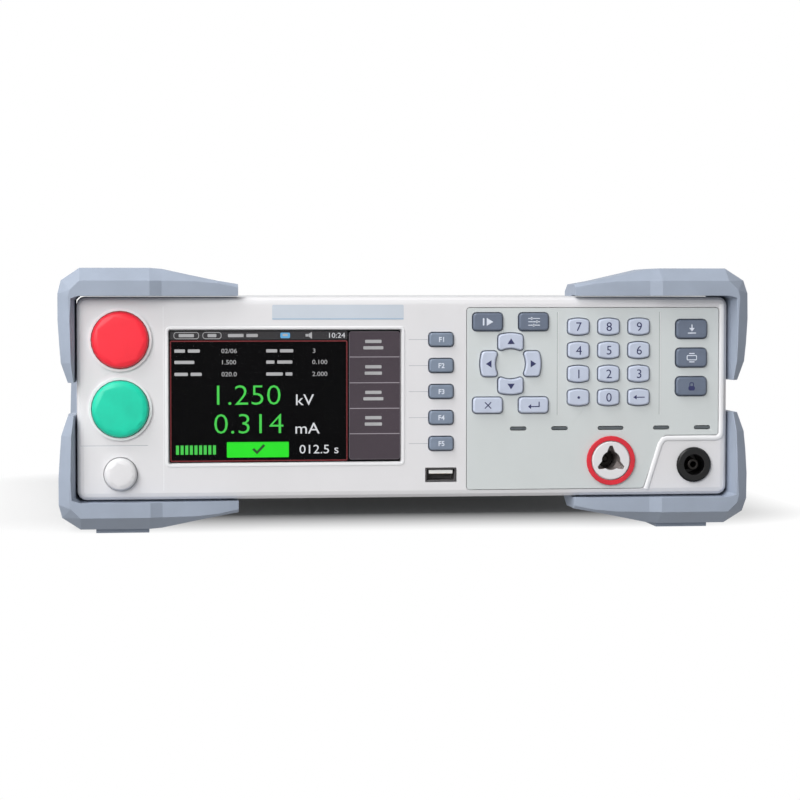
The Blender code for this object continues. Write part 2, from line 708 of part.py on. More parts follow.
def key_opening_outline():
    """Opening in the bezel behind the key field of the control plate."""
    return [(PLATE_LEFT + PLATE_LEDGE, KEY_FIELD_BOTTOM), (PLATE_RIGHT - PLATE_LEDGE, KEY_FIELD_BOTTOM),
            (PLATE_RIGHT - PLATE_LEDGE, PLATE_TOP - PLATE_LEDGE / 2),
            (PLATE_LEFT + PLATE_LEDGE, PLATE_TOP - PLATE_LEDGE / 2)]


def indicator_places():
    """Centre x and width of each indicator bar, left to right."""
    steps = (-INDICATOR_STEP_OUTER, -INDICATOR_STEP_INNER, 0.0, INDICATOR_STEP_INNER, INDICATOR_STEP_OUTER)
    return [(HV_X + step, INDICATOR_WIDTH if step else INDICATOR_WIDTH_MIDDLE) for step in steps]


def bar_outline(width, margin=0.0):
    """Outline of an indicator bar with round ends, larger all round by a margin."""
    bar = rectangle(width + 2 * margin, INDICATOR_HEIGHT + 2 * margin)
    return rounded_outline(bar, INDICATOR_ROUNDING + margin)


def square_hole(shape, width, height, near, far, centre):
    """Add the hole for a rectangular piece, its size plus clearance, to a cutting shape."""
    prism(shape, rectangle(width + 2 * CLEARANCE, height + 2 * CLEARANCE), near, far, centre)


def round_hole(shape, radius, near, far, centre):
    """Add the hole for a round piece, its radius plus clearance, to a cutting shape."""
    prism(shape, circle(radius + CLEARANCE, BUTTON_SEGMENTS), near, far, centre)


def indicator_holes(shape, near, far):
    """Add the holes for the indicator bars to a cutting shape."""
    for x, width in indicator_places():
        prism(shape, bar_outline(width, CLEARANCE), near, far, (x, INDICATOR_Z))


def build_bezel(panel, plain_keys):
    """Moulded front: rounded face, skirt, openings and the raised collars of the two large buttons."""
    outline = rounded_outline(rectangle(BODY_WIDTH, BODY_HEIGHT), BEZEL_CORNER_RADIUS, 4)
    sections = []
    for step in range(4):
        angle = math.radians(30 * step)
        inset = BEZEL_EDGE_RADIUS * (1 - math.sin(angle))
        depth = BEZEL_EDGE_RADIUS * (1 - math.cos(angle))
        sections.append(at_depth(offset(outline, -inset), depth))
    sections.append(at_depth(outline, BEZEL_DEPTH))
    bezel = add_object("front_bezel", loft(bmesh.new(), sections), WHITE_PLASTIC, parent=panel, smooth=True)

    collars = bmesh.new()
    outer = BUTTON_RADIUS + CLEARANCE + COLLAR_WIDTH
    profile = [(-COLLAR_HEIGHT, BUTTON_RADIUS), (-COLLAR_HEIGHT, outer),
               (BEZEL_FACE / 2, outer), (BEZEL_FACE / 2, BUTTON_RADIUS)]
    for z in (STOP_Z, START_Z):
        turned(collars, profile, BUTTON_SEGMENTS, (BUTTON_X, z), ring=True)
    combine(bezel, add_object("bezel_collars", collars, parent=panel), 'UNION')

    hollow = prism(bmesh.new(), rectangle(BODY_WIDTH - 2 * BEZEL_WALL, BODY_HEIGHT - 2 * BEZEL_WALL),
                   BEZEL_FACE, 2 * BEZEL_DEPTH)
    combine(bezel, add_object("bezel_hollow", hollow, parent=panel), 'DIFFERENCE')

    seats = prism(bmesh.new(), offset(plate_outline(), CLEARANCE), -BEZEL_FACE, PLATE_SEAT)
    square_hole(seats, WINDOW_WIDTH, WINDOW_HEIGHT,
                -BEZEL_FACE, WINDOW_THICKNESS + CLEARANCE, (WINDOW_X, WINDOW_RISE))
    combine(bezel, add_object("bezel_seats", seats, parent=panel), 'DIFFERENCE')

    back = 2 * BEZEL_FACE
    front = -2 * COLLAR_HEIGHT
    openings = prism(bmesh.new(), key_opening_outline(), front, back)
    prism(openings, rectangle(WINDOW_WIDTH - 2 * WINDOW_LEDGE, WINDOW_HEIGHT - 2 * WINDOW_LEDGE),
          front, back, (WINDOW_X, WINDOW_RISE))
    for z in (STOP_Z, START_Z):
        round_hole(openings, BUTTON_RADIUS, front, back, (BUTTON_X, z))
    round_hole(openings, POWER_RADIUS, front, back, (BUTTON_X, POWER_Z))
    socket_holes(openings, front, back)
    for key in plain_keys:
        key.hole(openings, front, back)
    indicator_holes(openings, front, back)
    combine(bezel, add_object("bezel_openings", openings, parent=panel), 'DIFFERENCE')


def socket_holes(shape, near, far):
    """Add the holes for the bodies of the three front sockets to a cutting shape."""
    round_hole(shape, HV_BODY_RADIUS, near, far, (HV_X, HV_Z))
    round_hole(shape, RETURN_BODY_RADIUS, near, far, (RETURN_X, RETURN_Z))
    square_hole(shape, USB_WIDTH, USB_HEIGHT, near, far, (SOFT_KEY_X, USB_Z))


def build_plate(panel, plate_keys):
    """Flat control plate let into the bezel, with a hole for each key."""
    plate = add_object("control_plate", prism(bmesh.new(), plate_outline(), 0.0, PLATE_THICKNESS),
                       ((0.62, 0.65, 0.63), 0.5, 0.0), parent=panel)
    near, far = -PLATE_THICKNESS, 2 * PLATE_THICKNESS
    holes = bmesh.new()
    for key in plate_keys:
        key.hole(holes, near, far)
    indicator_holes(holes, near, far)
    round_hole(holes, HV_BODY_RADIUS, near, far, (HV_X, HV_Z))
    combine(plate, add_object("plate_holes", holes, parent=panel), 'DIFFERENCE')


def build_display(panel):
    """Glass window in its seat, and the display on the board that also carries the button switches."""
    centre = (WINDOW_X, 0.0, WINDOW_RISE)
    window = prism(bmesh.new(), rectangle(WINDOW_WIDTH, WINDOW_HEIGHT), 0.0, WINDOW_THICKNESS)
    add_object("display_window", window, ((0.01, 0.01, 0.012), 0.08, 0.0), centre, panel)
    inside_board = DISPLAY_BOARD_FRONT + DISPLAY_BOARD_THICKNESS / 2
    outline = offset(rectangle(WINDOW_WIDTH, WINDOW_HEIGHT), MODULE_MARGIN)
    module = prism(bmesh.new(), outline, MODULE_FRONT, inside_board, (WINDOW_X, WINDOW_RISE))
    board = add_object("display_board", module, ((0.10, 0.10, 0.11), 0.5, 0.2), parent=panel)
    reach = HALF_HEIGHT - BEZEL_WALL - CLEARANCE
    backing = block(bmesh.new(), (-HALF_WIDTH + BEZEL_WALL + CLEARANCE, DISPLAY_BOARD_FRONT, -reach),
                    (WINDOW_X + WINDOW_WIDTH / 2, DISPLAY_BOARD_FRONT + DISPLAY_BOARD_THICKNESS, reach))
    combine(board, add_object("display_backing", backing, parent=panel), 'UNION')
    switches = bmesh.new()
    for z in (STOP_Z, START_Z, POWER_Z):
        prism(switches, rectangle(SWITCH_SIZE, SWITCH_SIZE), SWITCH_FRONT, inside_board, (BUTTON_X, z))
    combine(board, add_object("button_switches", switches, parent=panel), 'UNION')


def build_indicators(panel):
    """Light guide: one bar for each indicator and the rail that joins them behind the bezel."""
    back = KEY_BOARD_FRONT - CLEARANCE
    front = back - INDICATOR_RAIL_THICKNESS
    half = INDICATOR_RAIL_HEIGHT / 2
    places = indicator_places()
    rail = block(bmesh.new(), (places[0][0], front, INDICATOR_Z - half),
                 (places[-1][0], back, INDICATOR_Z + half))
    guide = add_object("indicator_lenses", rail, ((0.30, 0.32, 0.34), 0.3, 0.0), parent=panel)
    bars = bmesh.new()
    for x, width in places:
        prism(bars, bar_outline(width), 0.0, (front + back) / 2, (x, INDICATOR_Z))
    combine(guide, add_object("indicator_bars", bars, parent=panel), 'UNION')


def build_button(panel, name, z, radius, finish):
    """Round push button with a rounded face and a flange behind the bezel."""
    seat = BEZEL_FACE + CLEARANCE
    profile = [(-BUTTON_RISE, radius - BUTTON_FACE_INSET),
               (-BUTTON_RISE + BUTTON_ROUNDING / 3, radius - BUTTON_FACE_INSET / 3),
               (-BUTTON_RISE + BUTTON_ROUNDING, radius), (seat, radius),
               (seat, radius + BUTTON_LIP), (BUTTON_BACK, radius + BUTTON_LIP)]
    shape = turned(bmesh.new(), profile, BUTTON_SEGMENTS)
    add_object(name, shape, finish, (BUTTON_X, 0.0, z), panel, smooth=True)


def build_key_board(panel):
    """Rubber mat behind the keys and the circuit board that it lies on."""
    left = SOFT_KEY_X - SOFT_KEY_WIDTH / 2 - KEY_LIP - MAT_MARGIN
    right = HALF_WIDTH - BEZEL_WALL - CLEARANCE
    top = HALF_HEIGHT - BEZEL_WALL - CLEARANCE
    soft_bottom = (SOFT_KEY_RISE - SOFT_KEY_PITCH * (SOFT_KEY_COUNT - 1) / 2
                   - SOFT_KEY_HEIGHT / 2 - KEY_LIP - MAT_MARGIN)
    mat_bottom = INDICATOR_Z + INDICATOR_HEIGHT / 2 + MAT_MARGIN
    mat_right = PLATE_RIGHT - PLATE_LEDGE
    mat = [(left, soft_bottom), (PLATE_LEFT, soft_bottom), (PLATE_LEFT, mat_bottom),
           (mat_right, mat_bottom), (mat_right, PLATE_TOP), (left, PLATE_TOP)]
    shape = prism(bmesh.new(), mat, MAT_FRONT, MAT_FRONT + MAT_THICKNESS)
    add_object("keypad_mat", shape, ((0.35, 0.36, 0.38), 0.8, 0.0), parent=panel)

    board_left = WINDOW_X + WINDOW_WIDTH / 2 + MODULE_MARGIN + CLEARANCE
    far = KEY_BOARD_FRONT + BOARD_THICKNESS
    shape = block(bmesh.new(), (board_left, KEY_BOARD_FRONT, -top), (right, far, top))
    board = add_object("key_board", shape, CIRCUIT_BOARD, parent=panel)
    holes = bmesh.new()
    socket_holes(holes, KEY_BOARD_FRONT - BOARD_THICKNESS, far + BOARD_THICKNESS)
    combine(board, add_object("key_board_holes", holes, parent=panel), 'DIFFERENCE')


def build_usb(panel):
    """Shielded socket with its contact tongue."""
    centre = (SOFT_KEY_X, 0.0, USB_Z)
    shell = prism(bmesh.new(), rectangle(USB_WIDTH, USB_HEIGHT), 0.0, USB_DEPTH)
    socket = add_object("usb_socket", shell, ((0.70, 0.70, 0.72), 0.3, 0.9), centre, panel)
    mouth = prism(bmesh.new(), rectangle(USB_WIDTH - 2 * USB_SHELL, USB_HEIGHT - 2 * USB_SHELL),
                  -USB_SHELL, USB_SLOT_DEPTH)
    combine(socket, add_object("usb_mouth", mouth, location=centre, parent=panel), 'DIFFERENCE')
    ceiling = USB_HEIGHT / 2 - 2 * USB_SHELL
    tongue = block(bmesh.new(), (-USB_TONGUE_WIDTH / 2, 2 * USB_SHELL, ceiling - USB_TONGUE),
                   (USB_TONGUE_WIDTH / 2, USB_SLOT_DEPTH + USB_SHELL, ceiling))
    combine(socket, add_object("usb_tongue", tongue, location=centre, parent=panel), 'UNION')


def build_high_voltage_socket(panel):
    """White insulator with a lobed mouth, coloured ring around it and the contact at its foot."""
    centre = (HV_X, 0.0, HV_Z)
    front = -CLEARANCE - HV_FLANGE_THICKNESS
    profile = [(front, HV_FLANGE_RADIUS - HV_FLANGE_EDGE), (front + HV_FLANGE_EDGE, HV_FLANGE_RADIUS),
               (-CLEARANCE, HV_FLANGE_RADIUS), (-CLEARANCE, HV_BODY_RADIUS), (HV_BODY_DEPTH, HV_BODY_RADIUS)]
    bush = add_object("high_voltage_bush", turned(bmesh.new(), profile, BUTTON_SEGMENTS),
                      WHITE_PLASTIC, centre, panel, smooth=True)
    well = turned(bmesh.new(), [(2 * front, HV_WELL_RADIUS), (HV_WELL_DEPTH, HV_WELL_RADIUS)], 20)
    combine(bush, add_object("socket_well", well, location=centre, parent=panel), 'DIFFERENCE')
    for turn in (90, 210, 330):
        direction = Vector((math.cos(math.radians(turn)), math.sin(math.radians(turn))))
        side = Vector((-direction.y, direction.x))
        tip = HV_LOBE_REACH + HV_LOBE_RADIUS
        outline = [side * HV_LOBE_ROOT, direction * HV_LOBE_REACH + side * HV_LOBE_RADIUS,
                   direction * tip + side * HV_LOBE_RADIUS / 2, direction * tip - side * HV_LOBE_RADIUS / 2,
                   direction * HV_LOBE_REACH - side * HV_LOBE_RADIUS, side * -HV_LOBE_ROOT]
        lobe = add_object(f"socket_lobe_{turn}", prism(bmesh.new(), outline, 2 * front, HV_LOBE_DEPTH),
                          location=centre, parent=panel)
        combine(bush, lobe, 'DIFFERENCE')

    inner = HV_FLANGE_RADIUS + CLEARANCE
    outer = inner + HV_RING_WIDTH
    ring_front = -CLEARANCE - HV_RING_THICKNESS
    ring = turned(bmesh.new(), [(ring_front, inner), (ring_front, outer), (-CLEARANCE, outer),
                                (-CLEARANCE, inner)], BUTTON_SEGMENTS, ring=True)
    add_object("high_voltage_ring", ring, ((0.60, 0.05, 0.07), 0.4, 0.0), centre, panel, smooth=True)

    foot = HV_WELL_DEPTH - CLEARANCE
    tip = foot - HV_PIN_RISE
    collar = foot - HV_PIN_COLLAR
    contact = turned(bmesh.new(), [(tip, HV_PIN_RADIUS - HV_PIN_EDGE), (tip + HV_PIN_EDGE, HV_PIN_RADIUS),
                                   (collar, HV_PIN_RADIUS), (collar, HV_WELL_RADIUS - CLEARANCE),
                                   (foot, HV_WELL_RADIUS - CLEARANCE)], 16)
    add_object("high_voltage_contact", contact, ((0.75, 0.60, 0.30), 0.3, 1.0), centre, panel, smooth=True)


def build_return_socket(panel):
    """Black shrouded socket with a hollow contact post in its middle."""
    centre = (RETURN_X, 0.0, RETURN_Z)
    front = -CLEARANCE - RETURN_RISE
    bore = RETURN_POST_RADIUS + CLEARANCE
    profile = [(front, RETURN_MOUTH_RADIUS), (front, RETURN_RADIUS - RETURN_EDGE),
               (front + RETURN_EDGE, RETURN_RADIUS), (-CLEARANCE, RETURN_RADIUS),
               (-CLEARANCE, RETURN_BODY_RADIUS), (RETURN_BODY_DEPTH, RETURN_BODY_RADIUS),
               (RETURN_BODY_DEPTH, bore), (RETURN_MOUTH_DEPTH, bore),
               (RETURN_MOUTH_DEPTH, RETURN_MOUTH_RADIUS)]
    socket = turned(bmesh.new(), profile, BUTTON_SEGMENTS, ring=True)
    add_object("return_socket", socket, BLACK_PLASTIC, centre, panel, smooth=True)
    tip = front + RETURN_POST_SETBACK
    tail = RETURN_BODY_DEPTH + RETURN_POST_TAIL
    edge = RETURN_EDGE / 2
    profile = [(tip, RETURN_POST_BORE), (tip, RETURN_POST_RADIUS - edge), (tip + edge, RETURN_POST_RADIUS),
               (tail, RETURN_POST_RADIUS), (tail, RETURN_POST_BORE)]
    contact = turned(bmesh.new(), profile, 16, ring=True)
    add_object("return_contact", contact, ((0.12, 0.12, 0.13), 0.35, 0.6), centre, panel, smooth=True)


def build_tray():
    """Bottom of the chassis: floor, side walls, end lips and the standoffs of the main board."""
    half = TRAY_HALF_WIDTH
    floor = block(bmesh.new(), (-half, CASE_START, BODY_BOTTOM), (half, CASE_END, FLOOR_TOP))
    tray = add_object("chassis_tray", floor, SHEET_METAL)
    folds = bmesh.new()
    wall_top = BODY_BOTTOM + TRAY_WALL_HEIGHT
    lip_top = BODY_BOTTOM + TRAY_LIP_HEIGHT
    middle = BODY_BOTTOM + SHEET / 2
    for near, far in ((CASE_START, CASE_START + SHEET), (CASE_END - SHEET, CASE_END)):
        block(folds, (-half + 2 * SHEET, near, middle), (half - 2 * SHEET, far, lip_top))
    for side in (-1, 1):
        low, high = sorted((side * half, side * (half - SHEET)))
        block(folds, (low, CASE_START, middle), (high, CASE_END, wall_top))
    for x, y in main_board_corners():
        upright_cylinder(folds, STANDOFF_RADIUS, 8, (x, y), middle, FLOOR_TOP + STANDOFF_HEIGHT)
    combine(tray, add_object("tray_folds", folds), 'UNION')

    holes = bmesh.new()
    for y in SIDE_SCREW_PLACES:
        cross_bar(holes, SCREW_HOLE_RADIUS, 2 * HALF_WIDTH, y, SIDE_SCREW_Z)
    for x in rear_screw_columns():
        prism(holes, circle(SCREW_HOLE_RADIUS, SCREW_SEGMENTS), CASE_END - 2 * SHEET,
              CASE_END + SHEET, (x, BODY_BOTTOM + REAR_SCREW_INSET))
    combine(tray, add_object("tray_holes", holes), 'DIFFERENCE')


def upright_cylinder(shape, radius, segments, centre, low, high):
    """Add a round post between two heights."""
    outline = [(centre[0] + a, centre[1] + b) for a, b in circle(radius, segments)]
    return loft(shape, [[(x, y, z) for x, y in outline] for z in (low, high)])


def cross_bar(shape, radius, length, y, z):
    """Add a round bar along X, centred on the part's middle."""
    outline = circle(radius, SCREW_SEGMENTS)
    ends = [[(x, y + a, z + b) for a, b in outline] for x in (-length / 2, length / 2)]
    return loft(shape, ends)


def main_board_corners():
    """Middles of the four standoffs under the main board."""
    left, right = main_board_sides()
    inset = 2 * STANDOFF_RADIUS
    return [(x, y) for x in (left + inset, right - inset)
            for y in (-MAIN_BOARD_LENGTH / 2 + inset, MAIN_BOARD_LENGTH / 2 - inset)]


def main_board_sides():
    """Left and right edge of the main board."""
    left = -TRAY_HALF_WIDTH + SHEET + MAIN_BOARD_SIDE_GAP
    return left, left + MAIN_BOARD_WIDTH


def rear_screw_columns():
    """Centre x of the rear panel's screws."""
    reach = HALF_WIDTH - 2 * REAR_SCREW_INSET
    return (-reach, reach)


def build_cover():
    """Folded top and sides of the case, with side vents and rear tabs for the upper screws."""
    outer = rounded_outline([(-HALF_WIDTH, BODY_TOP), (HALF_WIDTH, BODY_TOP), (HALF_WIDTH, BODY_BOTTOM),
                             (-HALF_WIDTH, BODY_BOTTOM)], BODY_CORNER_RADIUS, 3)
    top_corners = outer[:8]
    bottom = BODY_BOTTOM + BODY_CORNER_RADIUS
    outline = ([(-HALF_WIDTH, bottom)] + top_corners
               + [(HALF_WIDTH, bottom), (HALF_WIDTH - SHEET, bottom),
                  (HALF_WIDTH - SHEET, BODY_TOP - SHEET), (-HALF_WIDTH + SHEET, BODY_TOP - SHEET),
                  (-HALF_WIDTH + SHEET, bottom)])
    cover = add_object("top_cover", prism(bmesh.new(), outline, CASE_START, CASE_END), PAINTED_STEEL)
    tabs = bmesh.new()
    for x in rear_screw_columns():
        block(tabs, (x - COVER_TAB_WIDTH / 2, CASE_END - SHEET, BODY_TOP - COVER_TAB_HEIGHT),
              (x + COVER_TAB_WIDTH / 2, CASE_END, BODY_TOP - SHEET / 2))
    combine(cover, add_object("cover_tabs", tabs), 'UNION')

    holes = bmesh.new()
    field = VENT_ROWS * VENT_HEIGHT + (VENT_ROWS - 1) * VENT_ROW_GAP
    for row in range(VENT_ROWS):
        bottom = CENTRE_Z - field / 2 + row * (VENT_HEIGHT + VENT_ROW_GAP)
        for i in range(VENT_COUNT):
            near = FRONT_Y + VENT_FROM_FRONT + i * VENT_PITCH
            block(holes, (-BODY_WIDTH, near, bottom), (BODY_WIDTH, near + VENT_WIDTH, bottom + VENT_HEIGHT))
    for y in SIDE_SCREW_PLACES:
        cross_bar(holes, SCREW_HOLE_RADIUS, 2 * BODY_WIDTH, y, SIDE_SCREW_Z)
    for x in rear_screw_columns():
        prism(holes, circle(SCREW_HOLE_RADIUS, SCREW_SEGMENTS), CASE_END - 2 * SHEET,
              CASE_END + SHEET, (x, BODY_TOP - REAR_SCREW_INSET))
    combine(cover, add_object("cover_holes", holes), 'DIFFERENCE')


def build_rear_panel():
    """Rear plate with the fan grille, connector openings, screw holes and a pressed-in earth stud."""
    outline = rounded_outline(rectangle(BODY_WIDTH, BODY_HEIGHT), BODY_CORNER_RADIUS, 3)
    panel = add_object("rear_panel", prism(bmesh.new(), outline, PANEL_INNER_Y, REAR_Y, (0.0, CENTRE_Z)),
                       PAINTED_STEEL)
    near = PANEL_INNER_Y - REAR_PANEL_THICKNESS
    far = REAR_Y + REAR_PANEL_THICKNESS
    holes = bmesh.new()
    radius = FAN_BORE_RADIUS - CLEARANCE
    pitch = GRILLE_SLOT + GRILLE_BAR
    slots = int((2 * radius - GRILLE_SLOT) // pitch) + 1
    for i in range(slots):
        x = (i - (slots - 1) / 2) * pitch
        reach = math.sqrt(radius ** 2 - (abs(x) + GRILLE_SLOT / 2) ** 2)
        prism(holes, rectangle(GRILLE_SLOT, 2 * reach), near, far, (FAN_X + x, CENTRE_Z))
    for width, height, x, z in rear_openings():
        square_hole(holes, width, height, near, far, (x, z))
    screw_hole = circle(SCREW_HOLE_RADIUS, SCREW_SEGMENTS)
    for x in rear_screw_columns():
        for z in rear_screw_rows():
            prism(holes, screw_hole, near, far, (x, z))
    combine(panel, add_object("rear_panel_holes", holes), 'DIFFERENCE')
    nut_end = REAR_Y + EARTH_NUT_HEIGHT
    stud = [(PANEL_INNER_Y + REAR_PANEL_THICKNESS / 2, EARTH_NUT_RADIUS), (nut_end, EARTH_NUT_RADIUS),
            (nut_end, EARTH_POST_RADIUS), (REAR_Y + EARTH_POST_LENGTH, EARTH_POST_RADIUS)]
    combine(panel, add_object("earth_stud", turned(bmesh.new(), stud, 6, earth_place())), 'UNION')


def rear_screw_rows():
    """Centre z of the rear panel's screws."""
    return (BODY_BOTTOM + REAR_SCREW_INSET, BODY_TOP - REAR_SCREW_INSET)


def connector_places():
    """Centre x of the serial, network and terminal-block connectors on the rear panel."""
    serial = INLET_X + INLET_FLANGE_WIDTH / 2 + CONNECTOR_GAP + SERIAL_FLANGE_WIDTH / 2
    network = serial + SERIAL_FLANGE_WIDTH / 2 + CONNECTOR_GAP + NETWORK_WIDTH / 2
    terminals = network + NETWORK_WIDTH / 2 + CONNECTOR_GAP + TERMINAL_BLOCK_WIDTH / 2
    return serial, network, terminals


def earth_place():
    """Centre of the earth post, above the mains inlet."""
    return (INLET_X, INLET_Z + INLET_FLANGE_HEIGHT / 2 + 4 * EARTH_NUT_RADIUS)


def rear_openings():
    """Width, height and centre of each rectangular opening in the rear panel."""
    serial, network, terminals = connector_places()
    return [(INLET_BODY_WIDTH, INLET_BODY_HEIGHT, INLET_X, INLET_Z),
            (SERIAL_SHELL_WIDTH, SERIAL_SHELL_HEIGHT, serial, RAIL_Z),
            (NETWORK_WIDTH, NETWORK_HEIGHT, network, RAIL_Z),
            (TERMINAL_BLOCK_WIDTH, TERMINAL_BLOCK_HEIGHT, terminals, RAIL_Z)]


def build_mains_inlet():
    """Three-pin inlet with a flange outside the rear panel."""
    centre = (INLET_X, REAR_Y, INLET_Z)
    flange = rounded_outline(rectangle(INLET_FLANGE_WIDTH, INLET_FLANGE_HEIGHT), INLET_CORNER, 2)
    shape = prism(bmesh.new(), flange, CLEARANCE, CLEARANCE + INLET_FLANGE_THICKNESS)
    inlet = add_object("mains_inlet", shape, BLACK_PLASTIC, centre)
    outline = rectangle(INLET_BODY_WIDTH, INLET_BODY_HEIGHT)
    body = prism(bmesh.new(), outline, -INLET_BODY_DEPTH, 2 * CLEARANCE)
    combine(inlet, add_object("inlet_body", body, location=centre), 'UNION')
    mouth_bottom = CLEARANCE + INLET_FLANGE_THICKNESS - INLET_MOUTH_DEPTH
    x, z = INLET_MOUTH_WIDTH / 2, INLET_MOUTH_HEIGHT / 2
    cut = INLET_MOUTH_HEIGHT / 4
    outline = [(-x, -z), (x, -z), (x, z - cut), (x - cut, z), (-x + cut, z), (-x, z - cut)]
    mouth = prism(bmesh.new(), outline, mouth_bottom, INLET_MOUTH_DEPTH)
    combine(inlet, add_object("inlet_mouth", mouth, location=centre), 'DIFFERENCE')
    pins = bmesh.new()
    outline = rectangle(INLET_PIN_WIDTH, INLET_PIN_HEIGHT)
    half = INLET_PIN_SPACING / 2
    for place in ((-half, -cut / 2), (half, -cut / 2), (0.0, cut / 2)):
        prism(pins, outline, mouth_bottom - INLET_PIN_ROOT, mouth_bottom + INLET_PIN_LENGTH, place)
    combine(inlet, add_object("inlet_pins", pins, location=centre), 'UNION')


def build_rear_interface():
    """Interface board behind the rear panel with its serial, network and terminal-block connectors."""
    serial, network, terminals = connector_places()
    board_face = REAR_Y - INTERFACE_DEPTH
    root = board_face - BOARD_THICKNESS / 2
    low_x = serial - SERIAL_SHELL_WIDTH / 2 - INTERFACE_MARGIN
    high_x = terminals + TERMINAL_BLOCK_WIDTH / 2 + INTERFACE_MARGIN
    half = NETWORK_HEIGHT / 2 + INTERFACE_MARGIN
    board = block(bmesh.new(), (low_x, board_face - BOARD_THICKNESS, RAIL_Z - half),
                  (high_x, board_face, RAIL_Z + half))
    interface = add_object("rear_interface", board, ((0.25, 0.26, 0.27), 0.4, 0.3))
    block_end = REAR_Y + TERMINAL_BLOCK_RISE
    bodies = prism(bmesh.new(), rectangle(NETWORK_WIDTH, NETWORK_HEIGHT), root, REAR_Y + NETWORK_RISE,
                   (network, RAIL_Z))
    prism(bodies, rectangle(TERMINAL_BLOCK_WIDTH, TERMINAL_BLOCK_HEIGHT), root, block_end,
          (terminals, RAIL_Z))
    x, z = SERIAL_SHELL_WIDTH / 2, SERIAL_SHELL_HEIGHT / 2
    slope = z / 3
    prism(bodies, [(-x + slope, -z), (x - slope, -z), (x, z), (-x, z)], root, REAR_Y + SERIAL_RISE,
          (serial, RAIL_Z))
    combine(interface, add_object("connector_bodies", bodies), 'UNION')
    flange = prism(bmesh.new(), rectangle(SERIAL_FLANGE_WIDTH, SERIAL_FLANGE_HEIGHT), REAR_Y + CLEARANCE,
                   REAR_Y + CLEARANCE + SERIAL_FLANGE_THICKNESS, (serial, RAIL_Z))
    combine(interface, add_object("serial_flange", flange), 'UNION')
    outside = REAR_Y + 2 * TERMINAL_BLOCK_RISE
    hollows = prism(bmesh.new(), rectangle(NETWORK_MOUTH_WIDTH, NETWORK_MOUTH_HEIGHT),
                    REAR_Y + NETWORK_RISE - NETWORK_MOUTH_DEPTH, outside, (network, RAIL_Z))
    way_pitch = TERMINAL_BLOCK_WIDTH / TERMINAL_WAYS
    way = rectangle(TERMINAL_HOLE, TERMINAL_HOLE)
    for i in range(TERMINAL_WAYS):
        x = terminals + (i - (TERMINAL_WAYS - 1) / 2) * way_pitch
        prism(hollows, way, block_end - TERMINAL_HOLE_DEPTH, outside, (x, RAIL_Z))
    combine(interface, add_object("connector_hollows", hollows), 'DIFFERENCE')


def build_fan():
    """Square fan frame with its motor mount at the back, and the rotor on the fan's axis."""
    axis = (FAN_X, FAN_FRONT, CENTRE_Z)
    outline = rounded_outline(rectangle(FAN_SIZE, FAN_SIZE), FAN_CORNER, 1)
    frame = add_object("fan_frame", prism(bmesh.new(), outline, 0.0, FAN_DEPTH), BLACK_PLASTIC, axis)
    bore = turned(bmesh.new(), [(-FAN_DEPTH, FAN_BORE_RADIUS), (2 * FAN_DEPTH, FAN_BORE_RADIUS)], 32)
    combine(frame, add_object("fan_bore", bore, location=axis), 'DIFFERENCE')
    mount_front = FAN_DEPTH - FAN_MOTOR_DEPTH
    mount = turned(bmesh.new(), [(mount_front, FAN_HUB_RADIUS), (FAN_DEPTH, FAN_HUB_RADIUS)], 16)
    combine(frame, add_object("fan_motor_mount", mount, location=axis), 'UNION')
    for turn in (45, 135, 225, 315):
        angle = math.radians(turn)
        along = Vector((math.cos(angle), math.sin(angle)))
        across = Vector((-along.y, along.x)) * FAN_STRUT_WIDTH / 2
        inner = along * (FAN_HUB_RADIUS - FAN_ROOT_DEPTH)
        outer = along * (FAN_BORE_RADIUS + FAN_ROOT_DEPTH)
        strut = prism(bmesh.new(), [inner - across, outer - across, outer + across, inner + across],
                      mount_front + FAN_MOTOR_DEPTH / 2, FAN_DEPTH - FAN_STRUT_INSET)
        combine(frame, add_object(f"fan_strut_{turn}", strut, location=axis), 'UNION')

    hub_back = mount_front - CLEARANCE
    hub_front = hub_back - FAN_HUB_DEPTH
    hub = [(hub_front, FAN_HUB_RADIUS - FAN_HUB_EDGE), (hub_front + FAN_HUB_EDGE, FAN_HUB_RADIUS),
           (hub_back, FAN_HUB_RADIUS)]
    rotor = add_object("fan_rotor", turned(bmesh.new(), hub, 20), ((0.05, 0.05, 0.055), 0.5, 0.0), axis,
                       smooth=True)
    blades = bmesh.new()
    middle = (hub_front + hub_back) / 2
    ends = ((FAN_HUB_RADIUS - FAN_ROOT_DEPTH, FAN_BLADE_PITCH + FAN_BLADE_TWIST),
            (FAN_BORE_RADIUS - FAN_TIP_GAP, FAN_BLADE_PITCH - FAN_BLADE_TWIST))
    for i in range(FAN_BLADES):
        angle = 2 * math.pi * i / FAN_BLADES
        loft(blades, [blade_section(radius, angle, middle, pitch) for radius, pitch in ends])
    combine(rotor, add_object("fan_blades", blades, location=axis), 'UNION')


def blade_section(radius, angle, middle, pitch):
    """Four corners of a blade's section, laid at a radius and turned to its pitch."""
    tilt = math.radians(pitch)
    outward = Vector((math.cos(angle), 0.0, math.sin(angle)))
    around = Vector((-math.sin(angle), 0.0, math.cos(angle)))
    chord = around * math.cos(tilt) + Vector((0.0, math.sin(tilt), 0.0))
    normal = around * -math.sin(tilt) + Vector((0.0, math.cos(tilt), 0.0))
    reach = min(FAN_BLADE_CHORD, radius) / 2
    base = outward * math.sqrt(radius ** 2 - (reach * math.cos(tilt)) ** 2) + Vector((0.0, middle, 0.0))
    half = FAN_BLADE_THICKNESS / 2
    return [base + chord * a + normal * b
            for a, b in ((-reach, -half), (reach, -half), (reach, half), (-reach, half))]


